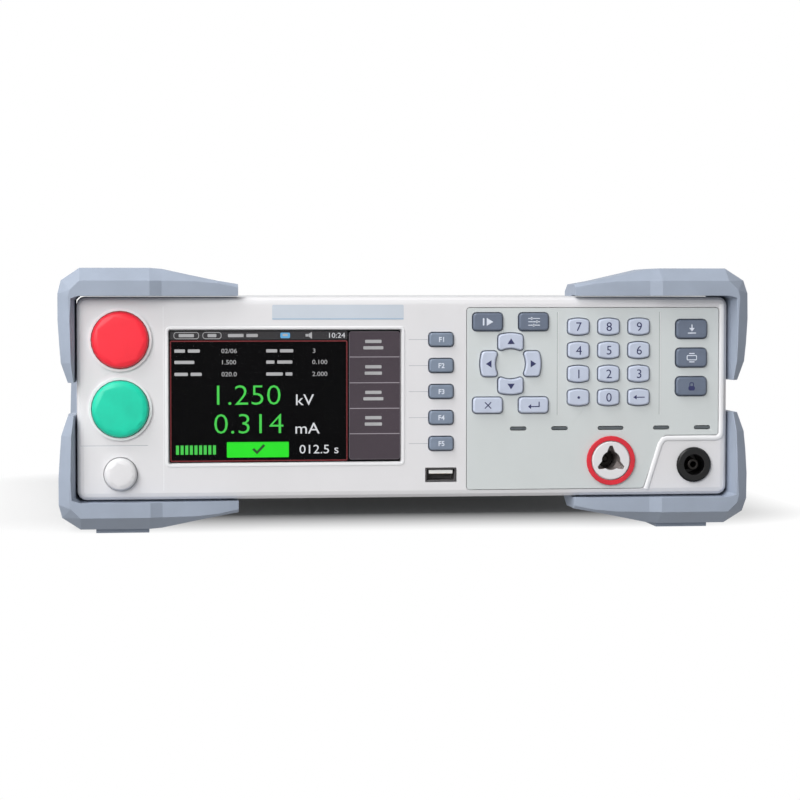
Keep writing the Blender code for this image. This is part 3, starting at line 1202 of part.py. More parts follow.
def build_main_board():
    """Main circuit board with its finned heat sink, relays and capacitors."""
    left, right = main_board_sides()
    bottom = FLOOR_TOP + STANDOFF_HEIGHT + CLEARANCE
    top = bottom + BOARD_THICKNESS
    root = top - BOARD_THICKNESS / 2
    half = MAIN_BOARD_LENGTH / 2
    shape = block(bmesh.new(), (left, -half, bottom), (right, half, top))
    board = add_object("main_board", shape, CIRCUIT_BOARD)
    middle = (left + right) / 2
    loads = bmesh.new()
    near = HEAT_SINK_SETBACK - HEAT_SINK_LENGTH / 2
    far = near + HEAT_SINK_LENGTH
    block(loads, (middle - HEAT_SINK_WIDTH / 2, near, root),
          (middle + HEAT_SINK_WIDTH / 2, far, top + HEAT_SINK_BASE))
    for x in row_places(middle, HEAT_SINK_FINS, HEAT_SINK_WIDTH / HEAT_SINK_FINS):
        block(loads, (x - HEAT_SINK_FIN / 2, near, top + HEAT_SINK_BASE / 2),
              (x + HEAT_SINK_FIN / 2, far, top + HEAT_SINK_HEIGHT))
    near = -half + RELAY_FROM_END
    for x in row_places(middle, RELAY_COUNT, RELAY_SPACING):
        block(loads, (x - RELAY_WIDTH / 2, near, root),
              (x + RELAY_WIDTH / 2, near + RELAY_LENGTH, top + RELAY_HEIGHT))
    for x in row_places(middle, CAPACITOR_COUNT, CAPACITOR_SPACING):
        centre = (x, half - CAPACITOR_FROM_END)
        upright_cylinder(loads, CAPACITOR_RADIUS, 14, centre, root, top + CAPACITOR_HEIGHT)
    combine(board, add_object("board_components", loads), 'UNION')


def row_places(middle, count, pitch):
    """Centres of a row of like pieces about its middle."""
    return [middle + (i - (count - 1) / 2) * pitch for i in range(count)]


def build_transformer(name, y, width, height, stack, overhang):
    """Laminated core on a foot plate with a coil that stands out at both faces."""
    x = HALF_WIDTH - TRANSFORMER_FROM_SIDE
    bottom = FLOOR_TOP + CLEARANCE
    near, far = y - stack / 2, y + stack / 2
    core = block(bmesh.new(), (x - width / 2, near, bottom), (x + width / 2, far, bottom + height))
    transformer = add_object(name, core, ((0.20, 0.19, 0.19), 0.6, 0.4))
    outline = rectangle(width - 2 * COIL_SIDE_MARGIN, height - 2 * COIL_END_MARGIN)
    coil = prism(bmesh.new(), rounded_outline(outline, COIL_CORNER, 3), near - overhang, far + overhang,
                 (x, bottom + height / 2))
    combine(transformer, add_object(f"{name}_coil", coil), 'UNION')
    reach = width / 2 + TRANSFORMER_FOOT_OVERHANG
    foot = block(bmesh.new(), (x - reach, near, bottom), (x + reach, far, bottom + TRANSFORMER_FOOT))
    combine(transformer, add_object(f"{name}_foot", foot), 'UNION')


def guard_section(path_point, outward, thickness, ridge, slope, setback=0.0, shortfall=0.0):
    """Eight points of a guard's section at one place along its arm.

    path_point is on the case's edge line, outward points away from the case in (x, z), and ridge holds
    the inner and outer edge of the front face. slope, setback and shortfall are shares of the guard's
    greatest slope depth, of how far its face is set back and of how much its rear end is drawn in.
    Depth zero is the guard's foremost plane.
    """
    recess = GUARD_SETBACK * setback
    end = GUARD_PROJECTION + GUARD_COVERAGE - GUARD_SHORTFALL * shortfall
    back = max(thickness - GUARD_BACK_SLOPE, GUARD_BACK_LEAST)
    pairs = [(GUARD_GAP, recess + GUARD_INNER_SLOPE), (ridge[0], recess), (ridge[1], recess),
             (thickness, recess + GUARD_SLOPE_DEPTH * slope), (thickness, end - GUARD_BACK_DEPTH),
             (back, end), (CLEARANCE, end), (CLEARANCE, GUARD_PROJECTION + GUARD_SEAT_DEPTH)]
    origin = Vector(path_point)
    section = []
    for reach, depth in pairs:
        place = origin + Vector(outward) * reach
        section.append((place.x, depth, place.y))
    return section


def guard_sections(upright_length):
    """Sections from the tip of the level arm, round the corner, along the upright arm.

    x is the distance beyond the side of the case. z is the distance above its top, so the upright
    arm goes down; a lower guard is the mirror image.
    """
    sections = []
    for share, height_share, face_share, slope, setback, shortfall in GUARD_LEVEL_STATIONS:
        face = (GUARD_FACE_START, GUARD_FACE_START + GUARD_FACE_WIDTH * face_share)
        sections.append(guard_section((-GUARD_ARM_LENGTH * share, 0.0), (0.0, 1.0),
                                      GUARD_HEIGHT * height_share, face, slope, setback, shortfall))

    bend = BODY_CORNER_RADIUS / 2
    ease = GUARD_CORNER_EASE
    starts = ((-bend, 0.0), (-bend / 2, -bend / 2), (0.0, -bend))
    reaches = ((bend - ease, GUARD_HEIGHT),
               (GUARD_WIDTH - ease + bend / 2, GUARD_HEIGHT * GUARD_BEVEL_SHARE + bend / 2),
               (GUARD_WIDTH, bend + ease))
    for start, reach, (inner_share, ridge_share, slope) in zip(starts, reaches, GUARD_CORNER_STATIONS):
        direction = Vector(reach)
        thickness = direction.length
        inner = GUARD_FACE_START + (GUARD_RIDGE - GUARD_FACE_START) * inner_share
        ridge = (inner, max(thickness * ridge_share, inner + GUARD_RIDGE_WIDTH))
        sections.append(guard_section(start, direction.normalized(), thickness, ridge, slope))

    for share, width_share, slope, setback, shortfall in GUARD_UPRIGHT_STATIONS:
        ridge = GUARD_RIDGE * width_share
        sections.append(guard_section((0.0, -upright_length * share), (1.0, 0.0),
                                      GUARD_WIDTH * width_share, (ridge, ridge + GUARD_RIDGE_WIDTH),
                                      slope, setback, shortfall))
    return sections


def guard_shape(side_x, side_y, side_z, upright_length):
    """A corner guard, measured from the case's corner and mirrored into its own corner."""
    sections = [[(side_x * x, side_y * (GUARD_PROJECTION - depth), side_z * z) for x, depth, z in section]
                for section in guard_sections(upright_length)]
    return loft(bmesh.new(), sections)


def foot_shape(side_x, side_y):
    """Foot pad that joins the underside of a lower guard, from the case's lower corner."""
    xs = sorted((-side_x * FOOT_INSET, -side_x * (FOOT_INSET + FOOT_LENGTH)))
    ys = sorted((-side_y * FOOT_FROM_CASE_END, -side_y * (GUARD_COVERAGE - FOOT_FROM_GUARD_END)))
    return block(bmesh.new(), (xs[0], ys[0], -GUARD_HEIGHT - FOOT_HEIGHT),
                 (xs[1], ys[1], -GUARD_HEIGHT / 2))


def build_guard(name, side_x, side_y, side_z, upright_length):
    """One corner guard; a lower one has a moulded foot."""
    corner = (side_x * HALF_WIDTH, side_y * REAR_Y, BODY_TOP if side_z > 0 else BODY_BOTTOM)
    shape = guard_shape(side_x, side_y, side_z, upright_length)
    guard = add_object(name, shape, GUARD_RUBBER, corner)
    if side_z < 0:
        foot = add_object(f"{name}_foot", foot_shape(side_x, side_y), location=corner)
        combine(guard, foot, 'UNION')


def build_guards():
    """Guards on the four front corners, and on the two lower corners at the rear."""
    for side, side_x in (("left", -1), ("right", 1)):
        build_guard(f"guard_upper_{side}", side_x, -1, 1, FRONT_UPRIGHT_LENGTH)
        build_guard(f"guard_lower_{side}", side_x, -1, -1, FRONT_UPRIGHT_LENGTH)
        build_guard(f"rear_guard_{side}", side_x, 1, -1, REAR_UPRIGHT_LENGTH)


def build_part():
    """Build the whole tester, front to back."""
    clear_scene()
    panel = add_empty("panel_frame", (0.0, FRONT_Y, CENTRE_Z))
    beside_display = soft_keys()
    on_plate = wide_keys() + navigation_keys() + number_keys() + side_keys()
    build_bezel(panel, beside_display)
    build_plate(panel, on_plate)
    for key in beside_display + on_plate:
        key.build(panel)
    build_button(panel, "stop_button", STOP_Z, BUTTON_RADIUS, ((0.80, 0.03, 0.06), 0.35, 0.0))
    build_button(panel, "start_button", START_Z, BUTTON_RADIUS, ((0.02, 0.62, 0.42), 0.35, 0.0))
    build_button(panel, "power_button", POWER_Z, POWER_RADIUS, WHITE_PLASTIC)
    build_display(panel)
    build_indicators(panel)
    build_key_board(panel)
    build_usb(panel)
    build_high_voltage_socket(panel)
    build_return_socket(panel)
    build_tray()
    build_cover()
    build_rear_panel()
    build_mains_inlet()
    build_rear_interface()
    build_fan()
    build_main_board()
    build_transformer("high_voltage_transformer", -TRANSFORMER_SPACING / 2,
                      HV_CORE_WIDTH, HV_CORE_HEIGHT, HV_CORE_STACK, HV_COIL_OVERHANG)
    build_transformer("mains_transformer", TRANSFORMER_SPACING / 2,
                      MAINS_CORE_WIDTH, MAINS_CORE_HEIGHT, MAINS_CORE_STACK, MAINS_COIL_OVERHANG)
    build_guards()
    bpy.context.view_layer.update()


build_part()
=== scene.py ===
"""Looks of a bench high-voltage withstand tester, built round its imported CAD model.

Units are metres. +Z is up, the front panel faces -Y and the feet stand on z = 0. Places on the
front panel are x and z from the panel's centre, and a depth is measured behind the panel's face.
"""
import json
import logging
import math
from dataclasses import dataclass, field
from enum import Enum
from typing import Callable, Iterable, Sequence

import bmesh
import bpy
from mathutils import Matrix, Vector

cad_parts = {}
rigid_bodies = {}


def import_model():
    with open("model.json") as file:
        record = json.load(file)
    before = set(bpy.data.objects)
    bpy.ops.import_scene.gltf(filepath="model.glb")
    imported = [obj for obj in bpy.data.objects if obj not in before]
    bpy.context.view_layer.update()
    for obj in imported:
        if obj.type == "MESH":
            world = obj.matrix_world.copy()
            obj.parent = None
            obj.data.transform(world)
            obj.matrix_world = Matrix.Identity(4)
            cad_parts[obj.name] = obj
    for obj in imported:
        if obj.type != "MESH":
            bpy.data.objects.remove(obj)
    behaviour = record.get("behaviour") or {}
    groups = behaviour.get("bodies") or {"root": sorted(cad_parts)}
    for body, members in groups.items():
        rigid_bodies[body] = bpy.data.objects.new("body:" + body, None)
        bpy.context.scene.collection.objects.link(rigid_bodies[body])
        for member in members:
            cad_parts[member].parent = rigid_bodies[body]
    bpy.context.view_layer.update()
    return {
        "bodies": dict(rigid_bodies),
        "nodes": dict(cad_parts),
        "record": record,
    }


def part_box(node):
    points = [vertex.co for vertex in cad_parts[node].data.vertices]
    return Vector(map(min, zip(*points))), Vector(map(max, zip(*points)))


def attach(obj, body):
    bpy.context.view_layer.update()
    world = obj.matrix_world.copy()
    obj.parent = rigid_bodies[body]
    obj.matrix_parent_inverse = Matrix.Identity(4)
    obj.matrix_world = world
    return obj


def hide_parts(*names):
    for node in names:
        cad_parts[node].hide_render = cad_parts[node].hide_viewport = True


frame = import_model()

logging.basicConfig(level=logging.INFO, format="%(message)s")
LOG = logging.getLogger("tester")

NODE_SLOTS = {part["node"]: part["material_slot"] for part in frame["record"]["subparts"]}

CAP_HEIGHT = 0.7
KEY_EDGE = 0.0005
KEY_GAP = 0.0003
MERGE = 1e-6
FLAT_ANGLE = math.radians(0.6)
SOFT_ANGLE = math.radians(28)
SHARP_ANGLE = math.radians(40)
AREA_WEIGHT = 90
SLIVER = 0.00001
BACKWARDS = Vector((0.0, 1.0, 0.0))

Colour = tuple[float, float, float]
Point = tuple[float, float]

PANEL_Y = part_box("control_plate")[0].y
BEZEL_LOW, BEZEL_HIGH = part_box("front_bezel")
PANEL_Z = (BEZEL_LOW.z + BEZEL_HIGH.z) / 2
REAR_THICKNESS = 0.002
REAR_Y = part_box("rear_panel")[0].y + REAR_THICKNESS


def panel(x: float, depth: float, z: float) -> Vector:
    """The place in the frame of a point that is given from the panel's centre."""
    return Vector((x, PANEL_Y + depth, PANEL_Z + z))


def middle_of(node: str) -> Vector:
    """Middle of a CAD node's box."""
    low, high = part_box(node)
    return (low + high) / 2


def linear(colour: Colour) -> tuple[float, float, float, float]:
    """Turn a colour as it shows on a screen, 0 to 255, into Blender's linear one."""
    parts = [part / 255 for part in colour]
    return (*(p / 12.92 if p <= 0.04045 else ((p + 0.055) / 1.055) ** 2.4 for p in parts), 1.0)


def shade(colour: Colour, factor: float) -> Colour:
    """Make a colour lighter or darker by a factor."""
    return tuple(min(255.0, part * factor) for part in colour)


# Node trees


class Graph:
    """A node tree that is filled in from inputs to output."""

    def __init__(self, tree: bpy.types.NodeTree) -> None:
        """Start on a tree."""
        self.tree = tree

    def add(self, kind: str, values: dict | None = None, **settings: object) -> bpy.types.Node:
        """Add a node, set its properties and fill its inputs.

        Args:
            kind: Blender's identifier of the node type.
            values: Numbers, or output sockets to link, by input name or index.
            **settings: Properties of the node.

        Returns:
            The new node.
        """
        node = self.tree.nodes.new(kind)
        for key, value in settings.items():
            setattr(node, key, value)
        for key, value in (values or {}).items():
            if isinstance(value, bpy.types.NodeSocket):
                self.tree.links.new(value, node.inputs[key])
            else:
                node.inputs[key].default_value = value
        return node

    def maths(self, operation: str, *values: object) -> bpy.types.NodeSocket:
        """Add a Math node and return its result."""
        node = self.add("ShaderNodeMath", dict(enumerate(values)), operation=operation)
        return node.outputs[0]

    def blend(self, factor: object, first: object, second: object) -> bpy.types.NodeSocket:
        """Mix two colours and return the result."""
        node = self.add("ShaderNodeMix", data_type="RGBA")
        for socket, value in zip((node.inputs[0], node.inputs[6], node.inputs[7]),
                                 (factor, first, second)):
            if isinstance(value, bpy.types.NodeSocket):
                self.tree.links.new(value, socket)
            else:
                socket.default_value = value
        return node.outputs[2]

    def spread(self, value: object, low: float, high: float, start: float = 0.0,
               end: float = 1.0) -> bpy.types.NodeSocket:
        """Map a value from one range to another and return the result."""
        node = self.add("ShaderNodeMapRange", {0: value, 1: start, 2: end, 3: low, 4: high})
        return node.outputs[0]


# Finishes


class Grain(Enum):
    """How the fine relief of a surface runs."""

    MOULDED = "moulded"
    BRUSHED = "brushed"
    SPANGLED = "spangled"
    LAYERED = "layered"
    WOUND = "wound"
    WOVEN = "woven"
    TRACKS = "tracks"


@dataclass(frozen=True)
class Finish:
    """A surface: its colour, and how that varies, shines and wears.

    Lengths are in metres: drift is the size of the colour's patches and grain_size that of
    the relief, which is grain_depth high.
    """

    name: str
    colour: Colour
    roughness: float = 0.45
    metallic: float = 0.0
    variation: float = 0.05
    drift: float = 0.03
    grain: Grain = Grain.MOULDED
    grain_size: float = 0.0005
    grain_depth: float = 0.00002
    wear: float = 0.25
    edge: float = 0.0005
    specular: float = 0.5
    coat: float = 0.0
    alpha: float = 1.0
    glow: float = 0.0
    second: Colour | None = None

    def material(self) -> bpy.types.Material:
        """Build the finish's node material once and return it."""
        made = bpy.data.materials.get(f"{self.name}_finish")
        if made:
            return made
        made = bpy.data.materials.new(f"{self.name}_finish")
        made.use_nodes = True
        made.diffuse_color = linear(self.colour)
        graph = Graph(made.node_tree)
        shader = made.node_tree.nodes["Principled BSDF"]
        place = graph.add("ShaderNodeTexCoord").outputs["Object"]
        patches = graph.add("ShaderNodeTexNoise", {"Vector": place, "Scale": 1 / self.drift,
                                                   "Detail": 4.0, "Roughness": 0.6}).outputs[0]
        relief, pattern = self._relief(graph, place)
        dark = linear(shade(self.colour, 1 - self.variation))
        light = linear(shade(self.colour, 1 + self.variation))
        colour = graph.blend(graph.spread(patches, 0, 1, 0.3, 0.7), dark, light)
        if self.second is not None:
            colour = graph.blend(pattern, colour, linear(self.second))
        worn = self._wear(graph, patches)
        colour = graph.blend(worn, colour, linear(shade(self.colour, 1.22)))
        rough = graph.spread(patches, self.roughness - 0.05, self.roughness + 0.05, 0.3, 0.7)
        rough = graph.maths("ADD", rough, graph.maths("MULTIPLY", worn, 0.08))
        bump = graph.add("ShaderNodeBump", {"Strength": 1.0, "Distance": self.grain_depth,
                                            "Height": relief})
        base = graph.blend(self.glow, colour, (0.0, 0.0, 0.0, 1.0)) if self.glow else colour
        values = {"Base Color": base, "Roughness": rough, "Normal": bump.outputs[0],
                  "Metallic": self.metallic, "Specular IOR Level": self.specular,
                  "Coat Weight": self.coat, "Coat Roughness": 0.12, "Alpha": self.alpha}
        if self.glow:
            values["Emission Color"] = colour
            values["Emission Strength"] = self.glow
        for key, value in values.items():
            if isinstance(value, bpy.types.NodeSocket):
                made.node_tree.links.new(value, shader.inputs[key])
            else:
                shader.inputs[key].default_value = value
        return made

    def _wear(self, graph: Graph, patches: bpy.types.NodeSocket) -> bpy.types.NodeSocket:
        """Find the edges where the surface is rubbed.

        Args:
            graph: The material's tree.
            patches: The noise that makes the wear uneven.

        Returns:
            A value from 0 to the finish's wear.
        """
        round_normal = graph.add("ShaderNodeBevel", {"Radius": self.edge}, samples=4)
        flat_normal = graph.add("ShaderNodeNewGeometry")
        turn = graph.add("ShaderNodeVectorMath", {0: round_normal.outputs[0],
                                                  1: flat_normal.outputs["Normal"]},
                         operation="DOT_PRODUCT")
        edge = graph.spread(turn.outputs["Value"], self.wear, 0.0, 0.75, 0.98)
        return graph.maths("MULTIPLY", edge, graph.spread(patches, 0.3, 1.0, 0.35, 0.65))

    def _relief(self, graph: Graph, place: bpy.types.NodeSocket) -> tuple:
        """Make the height of the grain, and the mask of the second colour.

        Args:
            graph: The material's tree.
            place: Object coordinates.

        Returns:
            The height, and the mask.
        """
        scale = 1 / self.grain_size
        if self.grain is Grain.MOULDED:
            noise = graph.add("ShaderNodeTexNoise", {"Vector": place, "Scale": scale, "Detail": 2.0})
            return noise.outputs[0], graph.spread(noise.outputs[0], 0, 1, 0.55, 0.7)
        if self.grain is Grain.BRUSHED:
            drawn = graph.add("ShaderNodeMapping", {"Vector": place, "Scale": (1.0, 0.04, 1.0)})
            noise = graph.add("ShaderNodeTexNoise", {"Vector": drawn.outputs[0], "Scale": scale})
            return noise.outputs[0], graph.spread(noise.outputs[0], 0, 1, 0.5, 0.7)
        if self.grain is Grain.SPANGLED:
            cells = graph.add("ShaderNodeTexVoronoi", {"Vector": place, "Scale": scale})
            level = graph.add("ShaderNodeSeparateColor", {0: cells.outputs["Color"]}).outputs[0]
            return level, level
        if self.grain in (Grain.LAYERED, Grain.WOUND):
            direction = "X" if self.grain is Grain.LAYERED else "Z"
            bands = graph.add("ShaderNodeTexWave", {"Vector": place, "Scale": scale * 0.16,
                                                    "Distortion": 0.4, "Detail": 1.0},
                              bands_direction=direction)
            return bands.outputs["Fac"], bands.outputs["Fac"]
        if self.grain is Grain.WOVEN:
            across = graph.add("ShaderNodeTexWave", {"Vector": place, "Scale": scale * 0.16},
                               bands_direction="X").outputs["Fac"]
            along = graph.add("ShaderNodeTexWave", {"Vector": place, "Scale": scale * 0.16},
                              bands_direction="Z").outputs["Fac"]
            return graph.maths("MAXIMUM", across, along), graph.maths("MULTIPLY", across, along)
        tracks = graph.add("ShaderNodeTexBrick", {"Vector": place, "Scale": scale, "Mortar Size": 0.06,
                                                  "Brick Width": 1.7, "Row Height": 0.35,
                                                  "Color1": (0, 0, 0, 1), "Color2": (0, 0, 0, 1),
                                                  "Mortar": (1, 1, 1, 1)}, offset=0.37)
        line = tracks.outputs["Fac"]
        return line, line


WHITE_PLASTIC = Finish("white_moulding", (226, 225, 227), 0.5, variation=0.012, drift=0.05,
                       grain_size=0.0004, grain_depth=0.000012, wear=0.35)
PALE_KEY = Finish("pale_key_cap", (194, 202, 220), 0.42, variation=0.02, drift=0.006,
                  grain_size=0.0003, grain_depth=0.000006, wear=0.4)
GREY_KEY = Finish("grey_key_cap", (100, 110, 128), 0.42, variation=0.04, drift=0.006,
                  grain_size=0.0003, grain_depth=0.000006, wear=0.4)
BLUE_GREY_KEY = Finish("blue_grey_key_cap", (122, 134, 152), 0.42, variation=0.04, drift=0.006,
                       grain_size=0.0003, grain_depth=0.000006, wear=0.4)
RED_BUTTON = Finish("red_button_moulding", (255, 36, 56), 0.42, variation=0.04, drift=0.012,
                    grain_size=0.0004, grain_depth=0.000005, wear=0.2)
GREEN_BUTTON = Finish("green_button_moulding", (0, 208, 170), 0.42, variation=0.04, drift=0.012,
                      grain_size=0.0004, grain_depth=0.000005, wear=0.2)
PLATE_FILM = Finish("plate_film", (209, 214, 214), 0.48, variation=0.012, drift=0.04,
                    grain_size=0.00035, grain_depth=0.000008, wear=0.2)
WINDOW_ACRYLIC = Finish("window_acrylic", (8, 8, 10), 0.2, variation=0.05, wear=0.0,
                        grain_size=0.004, grain_depth=0.000001, alpha=0.08, specular=0.1)
SCREEN_GLASS = Finish("screen_glass", (3, 3, 4), 0.5, variation=0.2, grain_size=0.0004,
                      grain_depth=0.000002, wear=0.0, specular=0.05)
CIRCUIT_BOARD = Finish("circuit_board", (28, 92, 52), 0.35, variation=0.06, grain=Grain.TRACKS,
                       grain_size=0.006, grain_depth=0.00003, second=(44, 122, 70), wear=0.1)
KEYPAD_RUBBER = Finish("keypad_rubber", (96, 99, 104), 0.75, variation=0.05, drift=0.01)
LIGHT_GUIDE = Finish("light_guide", (84, 90, 94), 0.3, variation=0.05, drift=0.004)
PLATED_STEEL = Finish("plated_steel", (182, 180, 176), 0.3, metallic=1.0, grain=Grain.BRUSHED,
                      grain_size=0.0003, grain_depth=0.000004, wear=0.2)
RED_RING = Finish("red_ring", (214, 34, 52), 0.35, variation=0.05, drift=0.006,
                  grain_depth=0.000004)
CONTACT_METAL = Finish("contact_metal", (206, 172, 108), 0.3, metallic=1.0, grain=Grain.BRUSHED,
                       grain_size=0.0003, grain_depth=0.000004)
BLACK_PLASTIC = Finish("black_moulding", (9, 9, 11), 0.3, variation=0.12, drift=0.01,
                       grain_size=0.0004, grain_depth=0.000012, specular=0.3)
INTERFACE_BOARD = Finish("interface_moulding", (74, 77, 80), 0.45, variation=0.06, drift=0.01)
ZINC_SHEET = Finish("zinc_sheet", (178, 180, 182), 0.35, metallic=0.9, variation=0.05,
                    grain=Grain.SPANGLED, grain_size=0.006, grain_depth=0.000006,
                    second=(150, 153, 157))
PAINTED_STEEL = Finish("painted_steel", (214, 215, 217), 0.52, variation=0.015, drift=0.06,
                       grain_size=0.0007, grain_depth=0.00003, wear=0.3)
TRANSFORMER_IRON = Finish("transformer_iron", (70, 68, 68), 0.5, metallic=0.4, variation=0.1,
                          grain=Grain.LAYERED, grain_size=0.0006, grain_depth=0.00008,
                          second=(94, 92, 92))
GUARD_RUBBER = Finish("guard_rubber", (156, 166, 182), 0.6, variation=0.03, drift=0.02,
                      grain_size=0.0005, grain_depth=0.00002, wear=0.3, edge=0.0008)

# Painted highlight: a white lighter than the bezel's, for the collars round the large buttons, the
# ridges, the window's rim and the lit sides of the grooves and of the column's step.
PAINTED_HIGHLIGHT_PLASTIC = Finish("painted_highlight_moulding", (234, 234, 236), 0.45, variation=0.01, wear=0.2,
                        grain_depth=0.000006)
STRIP_FILM = Finish("strip_film", (200, 208, 218), 0.45, variation=0.012, wear=0.0,
                    grain_depth=0.000004)
STRIP_LINE = Finish("strip_line", (160, 184, 206), 0.45, variation=0.02, wear=0.0,
                    grain_depth=0.000004)
# Painted shade: the shaded side of each groove in the plate.
PLATE_GROOVE_SHADE = Finish("painted_plate_groove_shade", (158, 168, 166), 0.5, variation=0.03, wear=0.0)
# Print of the lines to the soft keys, and painted shade on the shaded side of the groove in the button
# column.
BEZEL_PRINT_AND_GROOVE_SHADE = Finish("bezel_print_and_painted_groove_shade", (176, 178, 184), 0.5, variation=0.03, wear=0.0)
# Painted shadow in the gaps round the keys, and the printed border of the rating plate.
GAP_SHADOW_AND_BORDER_PRINT = Finish("key_outline_ink", (92, 98, 112), 0.5, variation=0.05, wear=0.0)
NAVY_INK = Finish("navy_ink", (34, 38, 84), 0.45, variation=0.06, drift=0.002, wear=0.0,
                  grain_depth=0.000002)
PALE_INK = Finish("pale_ink", (222, 228, 240), 0.45, variation=0.03, drift=0.002, wear=0.0,
                  grain_depth=0.000002)
# Painted shade: contact metal darkened for the pins deep in the two front sockets.
PIN_SHADE_METAL = Finish("painted_pin_shade", (36, 34, 32), 0.35, metallic=0.8, grain=Grain.BRUSHED,
                      grain_size=0.0003, grain_depth=0.000004)
TONGUE_PLASTIC = Finish("tongue_moulding", (240, 240, 238), 0.45, variation=0.02, drift=0.004,
                        grain_depth=0.000004)
# Painted shade: the hollow of the USB socket under its tongue.
USB_HOLLOW_SHADE = Finish("painted_usb_hollow_shade", (118, 116, 118), 0.5, variation=0.1, drift=0.003, wear=0.1)
# Painted shade: steel darkened for the USB shell, standing in for the shadow of the gap round it.
USB_SHELL_SHADE = Finish("painted_shade_usb_shell", (74, 72, 74), 0.4, metallic=0.5, grain=Grain.BRUSHED,
                     grain_size=0.0003, grain_depth=0.000004, wear=0.1)
# Painted shade: the inside of the openings in the rear connectors.
OPENING_SHADE = Finish("painted_opening_shade", (44, 44, 47), 0.5, variation=0.1, drift=0.005, wear=0.1)
# Painted shade and light: a flat grey for the walls inside the high-voltage socket's mouth.
WELL_SHADE_GREY = Finish("painted_well_shade", (160, 152, 150), 0.35, variation=0.08, drift=0.004, wear=0.1,
                      grain_depth=0.000006)
TERMINAL_GREEN = Finish("terminal_moulding", (52, 128, 74), 0.45, variation=0.04, drift=0.008)
BRUSHED_FOIL = Finish("brushed_foil", (196, 198, 202), 0.38, metallic=0.7, grain=Grain.BRUSHED,
                      grain_size=0.0003, grain_depth=0.000004, wear=0.1)
SINK_METAL = Finish("sink_metal", (168, 171, 175), 0.4, metallic=0.9, grain=Grain.BRUSHED,
                    grain_size=0.0004, grain_depth=0.000006)
RELAY_CASE = Finish("relay_case", (34, 58, 112), 0.4, variation=0.05, drift=0.008)
CAPACITOR_SLEEVE = Finish("capacitor_sleeve", (38, 42, 66), 0.35, variation=0.06, drift=0.01)
COIL_TAPE = Finish("coil_tape", (208, 176, 84), 0.45, variation=0.05, drift=0.01)
COPPER_WIRE = Finish("copper_wire", (184, 104, 56), 0.3, metallic=0.9, variation=0.06, drift=0.003,
                     grain_depth=0.000004)
CHIP_CERAMIC = Finish("chip_ceramic", (176, 160, 132), 0.5, variation=0.08, drift=0.004)
SCREEN_BAR = Finish("screen_bar", (34, 32, 36), 0.5, variation=0.1, wear=0.0, glow=0.6)
SCREEN_FRAME = Finish("screen_frame", (120, 26, 32), 0.5, variation=0.06, wear=0.0, glow=0.6)
SCREEN_COLUMN = Finish("screen_column", (64, 52, 62), 0.5, variation=0.05, wear=0.0, glow=0.8)
SCREEN_RULE = Finish("screen_rule", (168, 160, 168), 0.5, variation=0.05, wear=0.0, glow=0.8)
SCREEN_EDGE = Finish("screen_edge", (96, 88, 96), 0.5, variation=0.05, wear=0.0, glow=0.6)
SCREEN_GREEN = Finish("screen_green", (66, 218, 76), 0.5, variation=0.05, wear=0.0, glow=0.9)
SCREEN_LIME = Finish("screen_lime", (8, 240, 8), 0.5, variation=0.03, wear=0.0, glow=0.9)
SCREEN_DARK_GREEN = Finish("screen_dark_green", (8, 72, 10), 0.5, variation=0.05, wear=0.0)
SCREEN_WHITE = Finish("screen_white", (228, 230, 234), 0.5, variation=0.02, wear=0.0, glow=0.9)
SCREEN_GREY = Finish("screen_grey", (186, 186, 188), 0.5, variation=0.06, wear=0.0, glow=0.7)
SCREEN_BLUE = Finish("screen_blue", (96, 176, 228), 0.5, variation=0.06, wear=0.0, glow=0.9)

SLOT_FINISHES = {
    "white_plastic": WHITE_PLASTIC, "pale_key": PALE_KEY, "grey_key": GREY_KEY,
    "blue_grey_key": BLUE_GREY_KEY, "red_button": RED_BUTTON, "green_button": GREEN_BUTTON,
    "plate_film": PLATE_FILM, "window_acrylic": WINDOW_ACRYLIC, "circuit_board": CIRCUIT_BOARD,
    "keypad_rubber": KEYPAD_RUBBER, "light_guide": LIGHT_GUIDE, "plated_steel": PLATED_STEEL,
    "red_ring": RED_RING, "contact_metal": CONTACT_METAL, "black_plastic": BLACK_PLASTIC,
    "interface_board": INTERFACE_BOARD, "zinc_sheet": ZINC_SHEET, "painted_steel": PAINTED_STEEL,
    "transformer_iron": TRANSFORMER_IRON, "guard_rubber": GUARD_RUBBER,
}


# Meshes


def make_object(name: str, shape: bmesh.types.BMesh, finishes: Sequence[Finish]) -> bpy.types.Object:
    """Turn a bmesh into an object that is smooth except at its sharp edges.

    Args:
        name: The object's name.
        shape: The bmesh, which is freed.
        finishes: The finishes of its material slots.

    Returns:
        The new object, linked to the scene.
    """
    mesh = bpy.data.meshes.new(name)
    shape.to_mesh(mesh)
    shape.free()
    for finish in finishes:
        mesh.materials.append(finish.material())
    mesh.shade_smooth()
    mesh.set_sharp_from_angle(angle=SHARP_ANGLE)
    made = bpy.data.objects.new(name, mesh)
    bpy.context.scene.collection.objects.link(made)
    return made


def evaluated(source: bpy.types.Object) -> bpy.types.Object:
    """Apply an object's modifiers to its mesh and return the object."""
    bpy.context.view_layer.update()
    graph = bpy.context.evaluated_depsgraph_get()
    mesh = bpy.data.meshes.new_from_object(source.evaluated_get(graph), depsgraph=graph)
    source.modifiers.clear()
    old = source.data
    source.data = mesh
    mesh.name = source.name
    if old.users == 0:
        bpy.data.meshes.remove(old)
    return source


